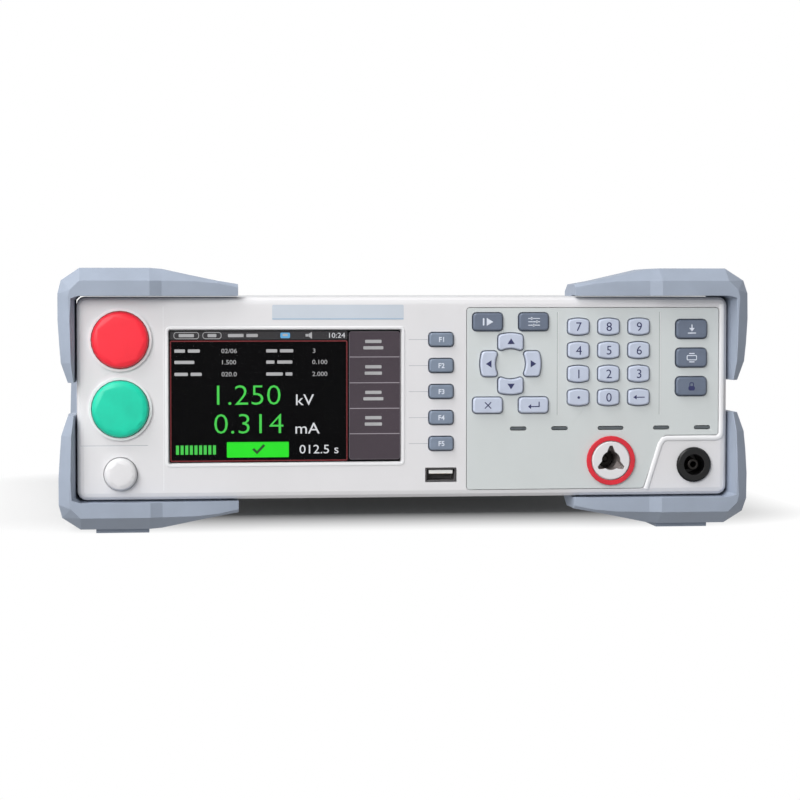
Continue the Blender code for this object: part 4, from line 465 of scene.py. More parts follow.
def soften(piece: bpy.types.Object, width: float, segments: int = 2,
           angle: float = SOFT_ANGLE) -> bpy.types.Object:
    """Round the sharp edges of a piece.

    Args:
        piece: The object to round.
        width: How far the rounding reaches from each edge.
        segments: How many faces it has.
        angle: The least angle of an edge that is rounded.

    Returns:
        The same object.
    """
    bevel = piece.modifiers.new("rounding", "BEVEL")
    bevel.width = width
    bevel.segments = segments
    bevel.limit_method = "ANGLE"
    bevel.angle_limit = angle
    bevel.use_clamp_overlap = True
    bevel.miter_outer = "MITER_ARC"
    evaluated(piece)
    piece.data.shade_smooth()
    piece.data.set_sharp_from_angle(angle=SHARP_ANGLE)
    flatter = piece.modifiers.new("flat_faces", "WEIGHTED_NORMAL")
    flatter.mode = "FACE_AREA"
    flatter.weight = AREA_WEIGHT
    flatter.keep_sharp = True
    return evaluated(piece)


def cad_shape(node: str, join_flat: bool = True) -> bmesh.types.BMesh:
    """Make a bmesh of a CAD node, whose mesh is loose triangles.

    Args:
        node: The CAD node.
        join_flat: Whether triangles in one plane become one face.

    Returns:
        The bmesh, with its doubles merged.
    """
    shape = bmesh.new()
    shape.from_mesh(frame["nodes"][node].data)
    bmesh.ops.remove_doubles(shape, verts=shape.verts, dist=MERGE)
    bmesh.ops.dissolve_degenerate(shape, dist=SLIVER, edges=shape.edges)
    if join_flat:
        bmesh.ops.dissolve_limit(shape, angle_limit=FLAT_ANGLE, verts=shape.verts, edges=shape.edges)
    for layer in list(shape.loops.layers.uv):
        shape.loops.layers.uv.remove(layer)
    return shape


def rounded(width: float, height: float, radius: float, x: float = 0.0, z: float = 0.0,
            steps: int = 4) -> list[Point]:
    """Outline of a rectangle with round corners, anticlockwise in x and z.

    Args:
        width: Its size in x.
        height: Its size in z.
        radius: Of the corners.
        x: Of its centre.
        z: Of its centre.
        steps: Segments of each corner.

    Returns:
        The points.
    """
    outline = []
    for turn, (side_x, side_z) in enumerate(((1, 1), (-1, 1), (-1, -1), (1, -1))):
        for step in range(steps + 1):
            angle = math.pi / 2 * (turn + step / steps)
            outline.append((x + side_x * (width / 2 - radius) + radius * math.cos(angle),
                            z + side_z * (height / 2 - radius) + radius * math.sin(angle)))
    return outline


def disc(radius: float, x: float = 0.0, z: float = 0.0, segments: int = 48) -> list[Point]:
    """Outline of a circle."""
    steps = [2 * math.pi * i / segments for i in range(segments)]
    return [(x + radius * math.cos(angle), z + radius * math.sin(angle)) for angle in steps]


def front_outline(node: str) -> list[Point]:
    """Outline of a CAD node's foremost flat face, anticlockwise, in x and z from the centre."""
    shape = cad_shape(node)
    front = min(shape.faces, key=lambda face: (round(face.calc_center_median().y, 5),
                                               -face.calc_area()))
    outline = [(loop.vert.co.x, loop.vert.co.z - PANEL_Z) for loop in front.loops]
    shape.free()
    area = sum(a[0] * b[1] - b[0] * a[1] for a, b in zip(outline, outline[1:] + outline[:1]))
    return outline if area > 0 else outline[::-1]


def moved(outline: Sequence[Point], x: float, z: float) -> list[Point]:
    """An outline moved by x and z."""
    return [(px + x, pz + z) for px, pz in outline]


def grown(outline: Sequence[Point], distance: float) -> list[Point]:
    """An anticlockwise outline with every side moved outwards by a distance."""
    points = [Vector(point) for point in outline]
    made = []
    for i, point in enumerate(points):
        before = (point - points[i - 1]).normalized()
        after = (points[(i + 1) % len(points)] - point).normalized()
        normal = Vector((before.y + after.y, -before.x - after.x))
        if normal.length < MERGE:
            normal = Vector((before.y, -before.x))
        normal.normalize()
        square = max(0.5, normal.dot(Vector((before.y, -before.x))))
        made.append(tuple(point + normal * distance / square))
    return made


def add_slab(shape: bmesh.types.BMesh, outline: Sequence[Point], near: float, far: float,
             material: int = 0, edge: float = 0.0) -> None:
    """Add a flat piece that lies parallel to the panel.

    Args:
        shape: The bmesh that it joins.
        outline: Its outline, anticlockwise seen from the front.
        near: Depth of its front.
        far: Depth of its back.
        material: Index of its material.
        edge: Width of the chamfer round its front.
    """
    layers = [(outline, near), (outline, far)]
    if edge:
        layers = [(grown(outline, -edge), near), (outline, near + edge), (outline, far)]
    rings = [[shape.verts.new(panel(x, depth, z)) for x, z in points] for points, depth in layers]
    count = len(outline)
    faces = [shape.faces.new(rings[0]), shape.faces.new(rings[-1][::-1])]
    for front, back in zip(rings, rings[1:]):
        for i in range(count):
            j = (i + 1) % count
            faces.append(shape.faces.new((front[i], back[i], back[j], front[j])))
    for face in faces:
        face.material_index = material


def add_frame(shape: bmesh.types.BMesh, outer: Sequence[Point], inner: Sequence[Point],
              near: float, far: float, material: int = 0, edge: float = 0.0) -> None:
    """Add a flat ring between two outlines with the same number of points.

    Args:
        shape: The bmesh that it joins.
        outer: The outer outline, anticlockwise seen from the front.
        inner: The inner outline.
        near: Depth of its front.
        far: Depth of its back.
        material: Index of its material.
        edge: Width of the chamfers of its front.
    """
    layers = [(outer, far), (outer, near + edge), (grown(outer, -edge), near),
              (grown(inner, edge), near), (inner, near + edge), (inner, far)]
    if not edge:
        layers = [layers[i] for i in (0, 2, 3, 5)]
    rings = [[shape.verts.new(panel(x, depth, z)) for x, z in points] for points, depth in layers]
    count = len(outer)
    for first, second in zip(rings, rings[1:] + rings[:1]):
        for i in range(count):
            j = (i + 1) % count
            face = shape.faces.new((first[i], first[j], second[j], second[i]))
            face.material_index = material


def add_ridge(shape: bmesh.types.BMesh, path: Sequence[Point], width: float, height: float,
              sink: float = 0.0002, material: int = 0, steps: int = 6) -> None:
    """Add a low round-backed ridge on the panel's face.

    Args:
        shape: The bmesh that it joins.
        path: Points of its middle line, in x and z.
        width: Its width.
        height: How far it stands proud.
        sink: How deep its foot goes into the face.
        material: Index of its material.
        steps: Segments of its back.
    """
    points = [Vector(point) for point in path]
    arcs = [math.pi * step / steps for step in range(steps + 1)]
    section = [(width / 2 * math.cos(arc), -height * math.sin(arc)) for arc in arcs]
    section += [(-width / 2, sink), (width / 2, sink)]
    rings = []
    for i, point in enumerate(points):
        before = (point - points[i - 1]).normalized() if i else None
        after = (points[i + 1] - point).normalized() if i + 1 < len(points) else None
        before, after = before or after, after or before
        side = Vector((before.y + after.y, -before.x - after.x)).normalized()
        stretch = 1 / max(0.4, side.dot(Vector((before.y, -before.x))))
        rings.append([shape.verts.new(panel(point.x + side.x * across * stretch, depth,
                                            point.y + side.y * across * stretch))
                      for across, depth in section])
    faces = [shape.faces.new(rings[0]), shape.faces.new(rings[-1][::-1])]
    for first, second in zip(rings, rings[1:]):
        for i in range(len(section)):
            j = (i + 1) % len(section)
            faces.append(shape.faces.new((first[i], second[i], second[j], first[j])))
    for face in faces:
        face.material_index = material


def add_text(shape: bmesh.types.BMesh, words: str, height: float, x: float, z: float, near: float,
             thickness: float, material: int = 0, stretch: float = 1.0, bold: float = 0.0) -> None:
    """Add raised figures that face the front.

    Args:
        shape: The bmesh that they join.
        words: The figures.
        height: Of a digit.
        x: Of their middle.
        z: Of their middle.
        near: Depth of their front.
        thickness: From front to back.
        material: Index of their material.
        stretch: How much wider than drawn they are.
        bold: How far their strokes swell.
    """
    curve = bpy.data.curves.new("figures", "FONT")
    curve.body = words
    curve.extrude = 0.5
    curve.offset = bold
    curve.resolution_u = 3
    holder = bpy.data.objects.new("figures", curve)
    bpy.context.scene.collection.objects.link(holder)
    bpy.context.view_layer.update()
    graph = bpy.context.evaluated_depsgraph_get()
    mesh = bpy.data.meshes.new_from_object(holder.evaluated_get(graph), depsgraph=graph)
    bpy.data.objects.remove(holder)
    bpy.data.curves.remove(curve)
    low = Vector([min(v.co[i] for v in mesh.vertices) for i in range(3)])
    high = Vector([max(v.co[i] for v in mesh.vertices) for i in range(3)])
    middle = (low + high) / 2
    scale = height / CAP_HEIGHT
    turn = Matrix.Rotation(math.radians(90), 4, "X")
    size = Matrix.Diagonal((scale * stretch, scale, thickness, 1.0))
    target = panel(x, near + thickness / 2, z)
    mesh.transform(Matrix.Translation(target) @ turn @ size @ Matrix.Translation(-middle))
    first = len(shape.faces)
    shape.from_mesh(mesh)
    bpy.data.meshes.remove(mesh)
    shape.faces.ensure_lookup_table()
    for face in shape.faces[first:]:
        face.material_index = material


@dataclass
class Assembly:
    """What every sub-assembly has: it builds pieces and sets them on a body."""

    body: str = "case"

    def set_on(self, piece: bpy.types.Object, slot: str, body: str | None = None,
               stands_for: Iterable[str] = ()) -> bpy.types.Object:
        """Let a piece ride on its body and hide the CAD nodes that it stands for.

        Args:
            piece: The finished object.
            slot: The record's material slot; not used.
            body: The body, where it isn't the assembly's own.
            stands_for: CAD nodes that the piece replaces.

        Returns:
            The same object.
        """
        names = list(stands_for)
        if names:
            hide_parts(*names)
        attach(piece, body or self.body)
        LOG.info("%s: %d faces on %s", piece.name, len(piece.data.polygons), body or self.body)
        return piece

    def dress_node(self, node: str, name: str, width: float, segments: int = 2,
                   body: str | None = None, angle: float = SOFT_ANGLE,
                   finish: Finish | None = None, join_flat: bool = True,
                   further: Sequence[Finish] = (),
                   tone: Callable[[Vector], int] | None = None) -> bpy.types.Object:
        """Replace a CAD node by a copy with rounded edges and a finish.

        Args:
            node: The CAD node.
            name: The new piece's name.
            width: How far the rounding reaches.
            segments: How many faces the rounding has.
            body: The body, where it isn't the assembly's own.
            angle: The least angle of an edge that is rounded.
            finish: The finish, where it isn't the one of the node's slot.
            join_flat: Whether triangles in one plane are joined before rounding.
            further: More finishes, for the faces that the tone picks out.
            tone: Gives the number of a face's finish from its middle.

        Returns:
            The new piece.
        """
        slot = NODE_SLOTS[node]
        shape = cad_shape(node, join_flat)
        if tone is not None:
            for face in shape.faces:
                face.material_index = tone(face.calc_center_median())
        bmesh.ops.triangulate(shape, faces=[face for face in shape.faces if len(face.verts) > 4])
        piece = make_object(name, shape, [finish or SLOT_FINISHES[slot], *further])
        if width:
            soften(piece, width, segments, angle)
        return self.set_on(piece, slot, body, [node])


class Rows:
    """Geometry Nodes trees that repeat a small shape."""

    @staticmethod
    def tree(name: str, inputs: Sequence[tuple[str, str]]) -> tuple:
        """Start a tree with a mesh input and output.

        Args:
            name: The tree's name.
            inputs: Name and socket type of each further input.

        Returns:
            The tree, its graph, the input node and the output node.
        """
        made = bpy.data.node_groups.new(name, "GeometryNodeTree")
        made.interface.new_socket("Geometry", in_out="INPUT", socket_type="NodeSocketGeometry")
        for label, kind in inputs:
            made.interface.new_socket(label, in_out="INPUT", socket_type=kind)
        made.interface.new_socket("Geometry", in_out="OUTPUT", socket_type="NodeSocketGeometry")
        graph = Graph(made)
        return made, graph, graph.add("NodeGroupInput"), graph.add("NodeGroupOutput")

    @staticmethod
    def finish(graph: Graph, shapes: bpy.types.NodeSocket, material: bpy.types.NodeSocket,
               out: bpy.types.Node) -> None:
        """End a tree: realise the instances and set their material."""
        real = graph.add("GeometryNodeRealizeInstances", {0: shapes})
        dressed = graph.add("GeometryNodeSetMaterial", {"Geometry": real.outputs[0],
                                                        "Material": material})
        graph.tree.links.new(dressed.outputs[0], out.inputs[0])

    @staticmethod
    def run(name: str, tree: bpy.types.NodeTree, places: Sequence[Vector],
            facings: Sequence[Vector], values: dict[str, object]) -> bpy.types.Object:
        """Run a tree on points and keep the result as a plain mesh.

        Args:
            name: Name of the piece.
            tree: The tree.
            places: The points that it works on.
            facings: The direction in which each point's shape looks.
            values: The tree's inputs by name.

        Returns:
            The finished object.
        """
        mesh = bpy.data.meshes.new(name)
        mesh.from_pydata([tuple(place) for place in places], [], [])
        facing = mesh.attributes.new("facing", "FLOAT_VECTOR", "POINT")
        facing.data.foreach_set("vector", [part for vector in facings for part in vector])
        made = bpy.data.objects.new(name, mesh)
        bpy.context.scene.collection.objects.link(made)
        modifier = made.modifiers.new(tree.name, "NODES")
        modifier.node_group = tree
        for item in tree.interface.items_tree:
            if item.in_out == "INPUT" and item.name in values:
                modifier[item.identifier] = values[item.name]
        evaluated(made)
        made.data.shade_smooth()
        made.data.set_sharp_from_angle(angle=SHARP_ANGLE)
        return made


class ScrewTree:
    """A domed screw head with a cross recess on every point."""

    INPUTS = (("Head Radius", "NodeSocketFloat"), ("Head Height", "NodeSocketFloat"),
              ("Recess", "NodeSocketFloat"), ("Material", "NodeSocketMaterial"))

    def __init__(self) -> None:
        """Build the tree once."""
        self.made, graph, given, out = Rows.tree("screw heads", self.INPUTS)
        radius, height, recess = (given.outputs[label] for label in
                                  ("Head Radius", "Head Height", "Recess"))
        head = graph.add("GeometryNodeMeshCylinder", {"Vertices": 20, "Side Segments": 1,
                                                      "Fill Segments": 3, "Radius": radius,
                                                      "Depth": height}, fill_type="TRIANGLE_FAN")
        position = graph.add("GeometryNodeInputPosition").outputs[0]
        parts = graph.add("ShaderNodeSeparateXYZ", {0: position})
        square = graph.maths("ADD", graph.maths("MULTIPLY", parts.outputs[0], parts.outputs[0]),
                             graph.maths("MULTIPLY", parts.outputs[1], parts.outputs[1]))
        share = graph.maths("DIVIDE", square, graph.maths("MULTIPLY", radius, radius))
        fall = graph.maths("MULTIPLY", graph.maths("MULTIPLY", share, height), -0.55)
        offset = graph.add("ShaderNodeCombineXYZ", {2: fall})
        above = graph.maths("GREATER_THAN", parts.outputs[2], 0.0)
        domed = graph.add("GeometryNodeSetPosition", {"Geometry": head.outputs[0],
                                                      "Selection": above,
                                                      "Offset": offset.outputs[0]})
        arms = [graph.add("GeometryNodeMeshCube", {"Size": self._arm(graph, recess, height, turned)})
                for turned in (False, True)]
        lift = graph.add("ShaderNodeCombineXYZ", {2: height})
        raised = [graph.add("GeometryNodeTransform", {"Geometry": arm.outputs[0],
                                                      "Translation": lift.outputs[0]})
                  for arm in arms]
        cut = graph.add("GeometryNodeMeshBoolean", operation="DIFFERENCE", solver="EXACT")
        graph.tree.links.new(domed.outputs[0], cut.inputs[0])
        for arm in raised:
            graph.tree.links.new(arm.outputs[0], cut.inputs[1])
        facing = graph.add("GeometryNodeInputNamedAttribute", {"Name": "facing"},
                           data_type="FLOAT_VECTOR")
        turn = graph.add("FunctionNodeAlignRotationToVector", {"Vector": facing.outputs[0]}, axis="Z")
        placed = graph.add("GeometryNodeInstanceOnPoints", {"Points": given.outputs["Geometry"],
                                                            "Instance": cut.outputs[0],
                                                            "Rotation": turn.outputs[0]})
        Rows.finish(graph, placed.outputs[0], given.outputs["Material"], out)

    @staticmethod
    def _arm(graph: Graph, recess: bpy.types.NodeSocket, height: bpy.types.NodeSocket,
             turned: bool) -> bpy.types.NodeSocket:
        """Size of one arm of the cross recess."""
        narrow = graph.maths("MULTIPLY", recess, 0.24)
        deep = graph.maths("MULTIPLY", height, 1.5)
        size = (narrow, recess) if turned else (recess, narrow)
        return graph.add("ShaderNodeCombineXYZ", {0: size[0], 1: size[1], 2: deep}).outputs[0]

    def heads(self, name: str, places: Sequence[Vector], facings: Sequence[Vector], radius: float,
              height: float, finish: Finish) -> bpy.types.Object:
        """Put a screw head on every place.

        Args:
            name: Name of the piece.
            places: Middles of the heads.
            facings: Where each head looks.
            radius: Of a head.
            height: Of a head.
            finish: Its finish.

        Returns:
            The finished object.
        """
        return Rows.run(name, self.made, places, facings,
                        {"Head Radius": radius, "Head Height": height, "Recess": radius * 1.15,
                         "Material": finish.material()})


class BarTree:
    """A row of chamfered bars from every point."""

    INPUTS = (("Count", "NodeSocketInt"), ("Step", "NodeSocketVector"),
              ("Size", "NodeSocketVector"), ("Material", "NodeSocketMaterial"))

    def __init__(self) -> None:
        """Build the tree once."""
        self.made, graph, given, out = Rows.tree("rows of bars", self.INPUTS)
        bar = graph.add("GeometryNodeMeshCube", {"Size": given.outputs["Size"]})
        line = graph.add("GeometryNodeMeshLine", {"Count": given.outputs["Count"],
                                                  "Offset": given.outputs["Step"]}, mode="OFFSET")
        row = graph.add("GeometryNodeInstanceOnPoints", {"Points": line.outputs[0],
                                                         "Instance": bar.outputs[0]})
        rows = graph.add("GeometryNodeInstanceOnPoints", {"Points": given.outputs["Geometry"],
                                                          "Instance": row.outputs[0]})
        Rows.finish(graph, rows.outputs[0], given.outputs["Material"], out)

    def bars(self, name: str, starts: Sequence[Vector], count: int, step: Vector, size: Vector,
             finish: Finish, edge: float = 0.0) -> bpy.types.Object:
        """Make rows of bars.

        Args:
            name: Name of the piece.
            starts: Middle of the first bar of each row.
            count: Bars in a row.
            step: From one bar to the next.
            size: Of a bar.
            finish: Its finish.
            edge: Width of the bars' rounded edges.

        Returns:
            The finished object.
        """
        made = Rows.run(name, self.made, starts, [Vector((0, 0, 1))] * len(starts),
                        {"Count": count, "Step": tuple(step), "Size": tuple(size),
                         "Material": finish.material()})
        return soften(made, edge, 2) if edge else made


class WindingTree:
    """Round turns of wire round a coil, one stack from every point."""

    INPUTS = (("Width", "NodeSocketFloat"), ("Depth", "NodeSocketFloat"),
              ("Corner", "NodeSocketFloat"), ("Wire", "NodeSocketFloat"),
              ("Turns", "NodeSocketInt"), ("Step", "NodeSocketVector"),
              ("Material", "NodeSocketMaterial"))

    def __init__(self) -> None:
        """Build the tree once."""
        self.made, graph, given, out = Rows.tree("wire turns", self.INPUTS)
        loop = graph.add("GeometryNodeCurvePrimitiveQuadrilateral",
                         {"Width": given.outputs["Width"], "Height": given.outputs["Depth"]})
        bent = graph.add("GeometryNodeFilletCurve", {"Curve": loop.outputs[0], "Count": 4,
                                                     "Radius": given.outputs["Corner"]}, mode="POLY")
        wire = graph.add("GeometryNodeCurvePrimitiveCircle", {"Resolution": 6,
                                                              "Radius": given.outputs["Wire"]})
        turn = graph.add("GeometryNodeCurveToMesh", {"Curve": bent.outputs[0],
                                                     "Profile Curve": wire.outputs[0]})
        line = graph.add("GeometryNodeMeshLine", {"Count": given.outputs["Turns"],
                                                  "Offset": given.outputs["Step"]}, mode="OFFSET")
        coil = graph.add("GeometryNodeInstanceOnPoints", {"Points": line.outputs[0],
                                                          "Instance": turn.outputs[0]})
        coils = graph.add("GeometryNodeInstanceOnPoints", {"Points": given.outputs["Geometry"],
                                                           "Instance": coil.outputs[0]})
        Rows.finish(graph, coils.outputs[0], given.outputs["Material"], out)

    def coil(self, name: str, place: Vector, width: float, depth: float, corner: float,
             wire: float, turns: int, finish: Finish) -> bpy.types.Object:
        """Wind one coil about an upright axis.

        Args:
            name: Name of the piece.
            place: Middle of the lowest turn.
            width: Of a turn in x.
            depth: Of a turn in y.
            corner: Radius of its corners.
            wire: Radius of the wire.
            turns: How many there are.
            finish: Its finish.

        Returns:
            The finished object.
        """
        return Rows.run(name, self.made, [place], [Vector((0, 0, 1))],
                        {"Width": width, "Depth": depth, "Corner": corner, "Wire": wire,
                         "Turns": turns, "Step": (0.0, 0.0, wire * 2.0),
                         "Material": finish.material()})


SCREWS = ScrewTree()
BARS = BarTree()
WINDINGS = WindingTree()


@dataclass
class CornerGuards(Assembly):
    """The rubber guards on the corners, the lower ones with the feet."""

    rounding: float = 0.0005
    least_angle: float = math.radians(9)

    def build(self) -> None:
        """Dress the six guards."""
        for node in ("guard_upper_left", "guard_upper_right", "guard_lower_left",
                     "guard_lower_right", "rear_guard_left", "rear_guard_right"):
            self.dress_node(node, f"{node}_rubber", self.rounding, 3, angle=self.least_angle)


@dataclass
class FrontPanel(Assembly):
    """The moulded bezel with its ridges, and the control plate let into it."""

    rounding: float = 0.0003
    strip_middle: Point = (-0.0304, 0.03735)
    strip_size: Point = (0.0575, 0.0064)
    strip_corner: float = 0.0006
    strip_line: float = 0.0005
    strip_line_corner: float = 0.0002
    inlay: float = 0.00005
    ridge_width: float = 0.0023
    ridge_height: float = 0.00055
    ridge_gap: float = 0.0004
    ridge_turn: float = 0.0022
    ridge_cut: float = 0.0007
    ridge_join: Point = (0.0006, -0.0005)
    ridge_leg: float = 0.0026
    plate_left: float = 0.0263
    plate_right: float = 0.1392
    plate_top: float = 0.0391
    plate_bottom: float = -0.0407
    notch_top: float = -0.0173
    notch_left: float = 0.1127
    notch_foot: float = 0.1053
    groove_places: tuple[float, ...] = (0.0666, 0.1125)
    groove_low: float = -0.0082
    groove_high: float = 0.0373
    groove_width: float = 0.00028
    guide_start: float = 0.0006
    guide_end: float = 0.0092
    guide_line: float = 0.0002
    guide_corner: float = 0.00008
    column_groove_z: float = -0.0203
    column_groove_start: float = -0.1420
    column_groove_end: float = -0.1130
    column_step_x: float = -0.1063
    column_step_height: float = 0.080
    outline_width: float = 0.0002
    collar_reach: float = 0.0145
    collar_start: float = 0.0003
    window_rim: float = 0.0013
    window_rim_height: float = 0.0003
    window_rim_back: float = 0.0002
    window_gap: float = 0.0003
    window_corner: float = 0.0009

    def build(self) -> None:
        """Dress the bezel and the plate, add what is moulded and printed on them, and add painted
        highlights and painted shadows.
        """
        # The collars round the large buttons get the painted highlight colour.
        self.dress_node("front_bezel", "bezel_moulding", self.rounding, 2, join_flat=False,
                        further=(PAINTED_HIGHLIGHT_PLASTIC,), tone=self._collar_highlight_tone)
        self.dress_node("control_plate", "control_plate_film", 0.0001, 2, join_flat=False)
        self.dress_node("indicator_lenses", "indicator_lens_row", 0.0001, 2)
        self._strip()
        self._ridges()
        self._paint_groove_shading()
        self._guides()
        self._shade_key_gaps()

    def _collar_highlight_tone(self, place: Vector) -> int:
        """Painted highlight: bright for the collars round the two large buttons."""
        near = min((place - middle_of(node)).xz.length for node in ("stop_button", "start_button"))
        return int(near < self.collar_reach and place.y < PANEL_Y - self.collar_start)

    def _strip(self) -> None:
        """The bare light-blue strip over the display, with a darker line at its foot."""
        shape = bmesh.new()
        x, z = self.strip_middle
        width, height = self.strip_size
        add_slab(shape, rounded(width, height, self.strip_corner, x, z), -self.inlay, self.inlay)
        corner = self.strip_line_corner
        add_slab(shape, rounded(width, self.strip_line, corner, x, z - height / 2 + corner),
                 -self.inlay * 1.6, self.inlay, 1)
        self.set_on(make_object("title_strip", shape, [STRIP_FILM, STRIP_LINE]), "white_plastic")

    def _ridges(self) -> None:
        """The ridge that follows the plate's right side and its notch, and the window's rim, in the
        lighter colour of a painted highlight.
        """
        shape = bmesh.new()
        away = self.ridge_gap + self.ridge_width / 2
        right = self.plate_right + away
        level = self.notch_top - away
        slope = Vector((self.notch_left - self.notch_foot, self.notch_top - self.plate_bottom))
        normal = Vector((slope.y, -slope.x)).normalized() * away
        foot = Vector((self.notch_foot, self.plate_bottom)) + normal
        bend = foot + slope * ((level - foot.y) / slope.y)
        run = bend - foot
        turn, cut = self.ridge_turn, self.ridge_cut
        path = [(right, self.plate_top + away), (right, level + turn), (right - cut, level + cut),
                (right - turn, level), (bend.x + turn, level)]
        path += [(bend.x + self.ridge_join[0], level + self.ridge_join[1]),
                 tuple(bend - run.normalized() * self.ridge_leg), tuple(foot)]
        add_ridge(shape, path, self.ridge_width, self.ridge_height)
        low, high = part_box("display_window")
        middle = ((low.x + high.x) / 2, (low.z + high.z) / 2 - PANEL_Z)
        gap = 2 * self.window_gap
        inner = rounded(high.x - low.x + gap, high.z - low.z + gap, self.window_corner, *middle)
        add_frame(shape, grown(inner, self.window_rim), inner, -self.window_rim_height,
                  self.window_rim_back, edge=self.window_rim_height * 0.8)
        # Painted highlight: the ridges and the rim are real shapes in a colour lighter than the bezel's.
        self.set_on(make_object("bezel_ridges", shape, [PAINTED_HIGHLIGHT_PLASTIC]), "white_plastic")

    def _paint_groove_shading(self) -> None:
        """Painted shade lines and painted highlight lines that stand for the fine grooves in the plate
        and in the bezel's button column, and for the column's step.
        """
        shape = bmesh.new()
        middle = (self.groove_low + self.groove_high) / 2
        length = self.groove_high - self.groove_low
        wide = self.groove_width
        # For each groove of the plate: a painted shade line, and a painted highlight line to its right.
        for x in self.groove_places:
            add_slab(shape, rounded(wide, length, wide * 0.4, x, middle), -self.inlay, self.inlay)
            add_slab(shape, rounded(wide, length, wide * 0.4, x + wide * 1.1, middle),
                     -self.inlay * 2, self.inlay, 1)
        low = self.column_groove_start
        span = self.column_groove_end - low
        # The groove of the button column: a painted shade line, with a painted highlight line under it.
        for step, material in ((0.0, 2), (-wide * 1.1, 1)):
            add_slab(shape, rounded(span, wide, wide * 0.4, low + span / 2,
                                    self.column_groove_z + step), -self.inlay, self.inlay, material)
        # A painted highlight line for the step in the button column.
        add_slab(shape, rounded(wide * 1.2, self.column_step_height, wide * 0.5, self.column_step_x, 0.0),
                 -self.inlay, self.inlay, 1)
        self.set_on(make_object("painted_groove_lines", shape, [PLATE_GROOVE_SHADE, PAINTED_HIGHLIGHT_PLASTIC, BEZEL_PRINT_AND_GROOVE_SHADE]),
                    "plate_film")

    def _guides(self) -> None:
        """Printed lines from the display to the soft keys."""
        shape = bmesh.new()
        for number in range(1, 6):
            low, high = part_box(f"key_f{number}")
            z = (low.z + high.z) / 2 - PANEL_Z
            span = self.guide_end - self.guide_start
            line = rounded(span, self.guide_line, self.guide_corner, self.guide_start + span / 2, z)
            add_slab(shape, line, -self.inlay, self.inlay)
        self.set_on(make_object("soft_key_guides", shape, [BEZEL_PRINT_AND_GROOVE_SHADE]), "white_plastic")

    def _shade_key_gaps(self) -> None:
        """Painted shadow: a dark flat ring round each key, where the gap between cap and plate lies in
        shade.
        """
        shape = bmesh.new()
        for node in sorted(frame["nodes"]):
            if node.startswith("key_") and node != "key_board":
                inner = grown(front_outline(node), KEY_EDGE + KEY_GAP)
                add_frame(shape, grown(inner, self.outline_width), inner, -self.inlay, self.inlay)
        self.set_on(make_object("painted_key_gap_shadows", shape, [GAP_SHADOW_AND_BORDER_PRINT]), "plate_film")


class Mark(Enum):
    """The plain mark on a key that has no figure."""

    UP = "up"
    DOWN = "down"
    LEFT = "left"
    RIGHT = "right"
    RUN = "run"
    SLIDERS = "sliders"
    CROSS = "cross"
    RETURN = "return"
    DOWNLOAD = "download"
    SHEETS = "sheets"
    PADLOCK = "padlock"
    ERASE = "erase"


KEY_MARKS = {"up": Mark.UP, "down": Mark.DOWN, "left": Mark.LEFT, "right": Mark.RIGHT,
             "test": Mark.RUN, "setup": Mark.SLIDERS, "esc": Mark.CROSS, "enter": Mark.RETURN,
             "save": Mark.DOWNLOAD, "print": Mark.SHEETS, "lock": Mark.PADLOCK,
             "backspace": Mark.ERASE}
MARK_FACES = {
    Mark.UP: [[(-1.05, -0.65), (1.05, -0.65), (0.0, 0.95)]],
    Mark.DOWN: [[(-1.05, 0.65), (0.0, -0.95), (1.05, 0.65)]],
    Mark.LEFT: [[(0.65, -1.05), (0.65, 1.05), (-0.95, 0.0)]],
    Mark.RIGHT: [[(-0.65, -1.05), (0.95, 0.0), (-0.65, 1.05)]],
    Mark.RUN: [[(-0.4, -1.1), (1.5, 0.0), (-0.4, 1.1)]],
    Mark.SLIDERS: [],
    Mark.CROSS: [[(-1.0, -0.8), (-0.8, -1.0), (1.0, 0.8), (0.8, 1.0)],
                 [(0.8, -1.0), (1.0, -0.8), (0.1, 0.1), (-0.1, -0.1)],
                 [(-0.1, -0.1), (0.1, 0.1), (-0.8, 1.0), (-1.0, 0.8)]],
    Mark.RETURN: [[(-1.7, -0.4), (-0.8, -1.1), (-0.8, 0.3)]],
    Mark.DOWNLOAD: [[(-0.8, 0.3), (0.0, -0.7), (0.8, 0.3)]],
    Mark.SHEETS: [],
    Mark.PADLOCK: [],
    Mark.ERASE: [[(-1.7, 0.0), (-0.7, -0.65), (-0.7, 0.65)]],
}
MARK_BARS = {
    Mark.RUN: [(-1.3, 0.0, 0.45, 2.1)],
    Mark.SLIDERS: [(0.0, 0.95, 3.4, 0.22), (0.0, 0.0, 3.4, 0.22), (0.0, -0.95, 3.4, 0.22),
                   (-0.7, 0.95, 0.5, 0.75), (0.8, 0.0, 0.5, 0.75), (-0.1, -0.95, 0.5, 0.75)],
    Mark.RETURN: [(0.35, -0.4, 2.6, 0.3), (1.5, 0.25, 0.3, 1.5)],
    Mark.DOWNLOAD: [(0.0, 0.75, 0.3, 1.1), (0.0, -1.15, 2.4, 0.3)],
    Mark.SHEETS: [(0.0, 1.2, 1.6, 0.28), (0.0, -1.2, 1.6, 0.28)],
    Mark.PADLOCK: [(0.0, -0.55, 1.9, 1.3)],
    Mark.ERASE: [(0.35, 0.0, 2.6, 0.26)],
}
MARK_RINGS = {
    Mark.SHEETS: [(0.0, 0.0, 3.0, 1.5, 0.25)],
    Mark.PADLOCK: [(0.0, 0.4, 1.3, 1.5, 0.26)],
}


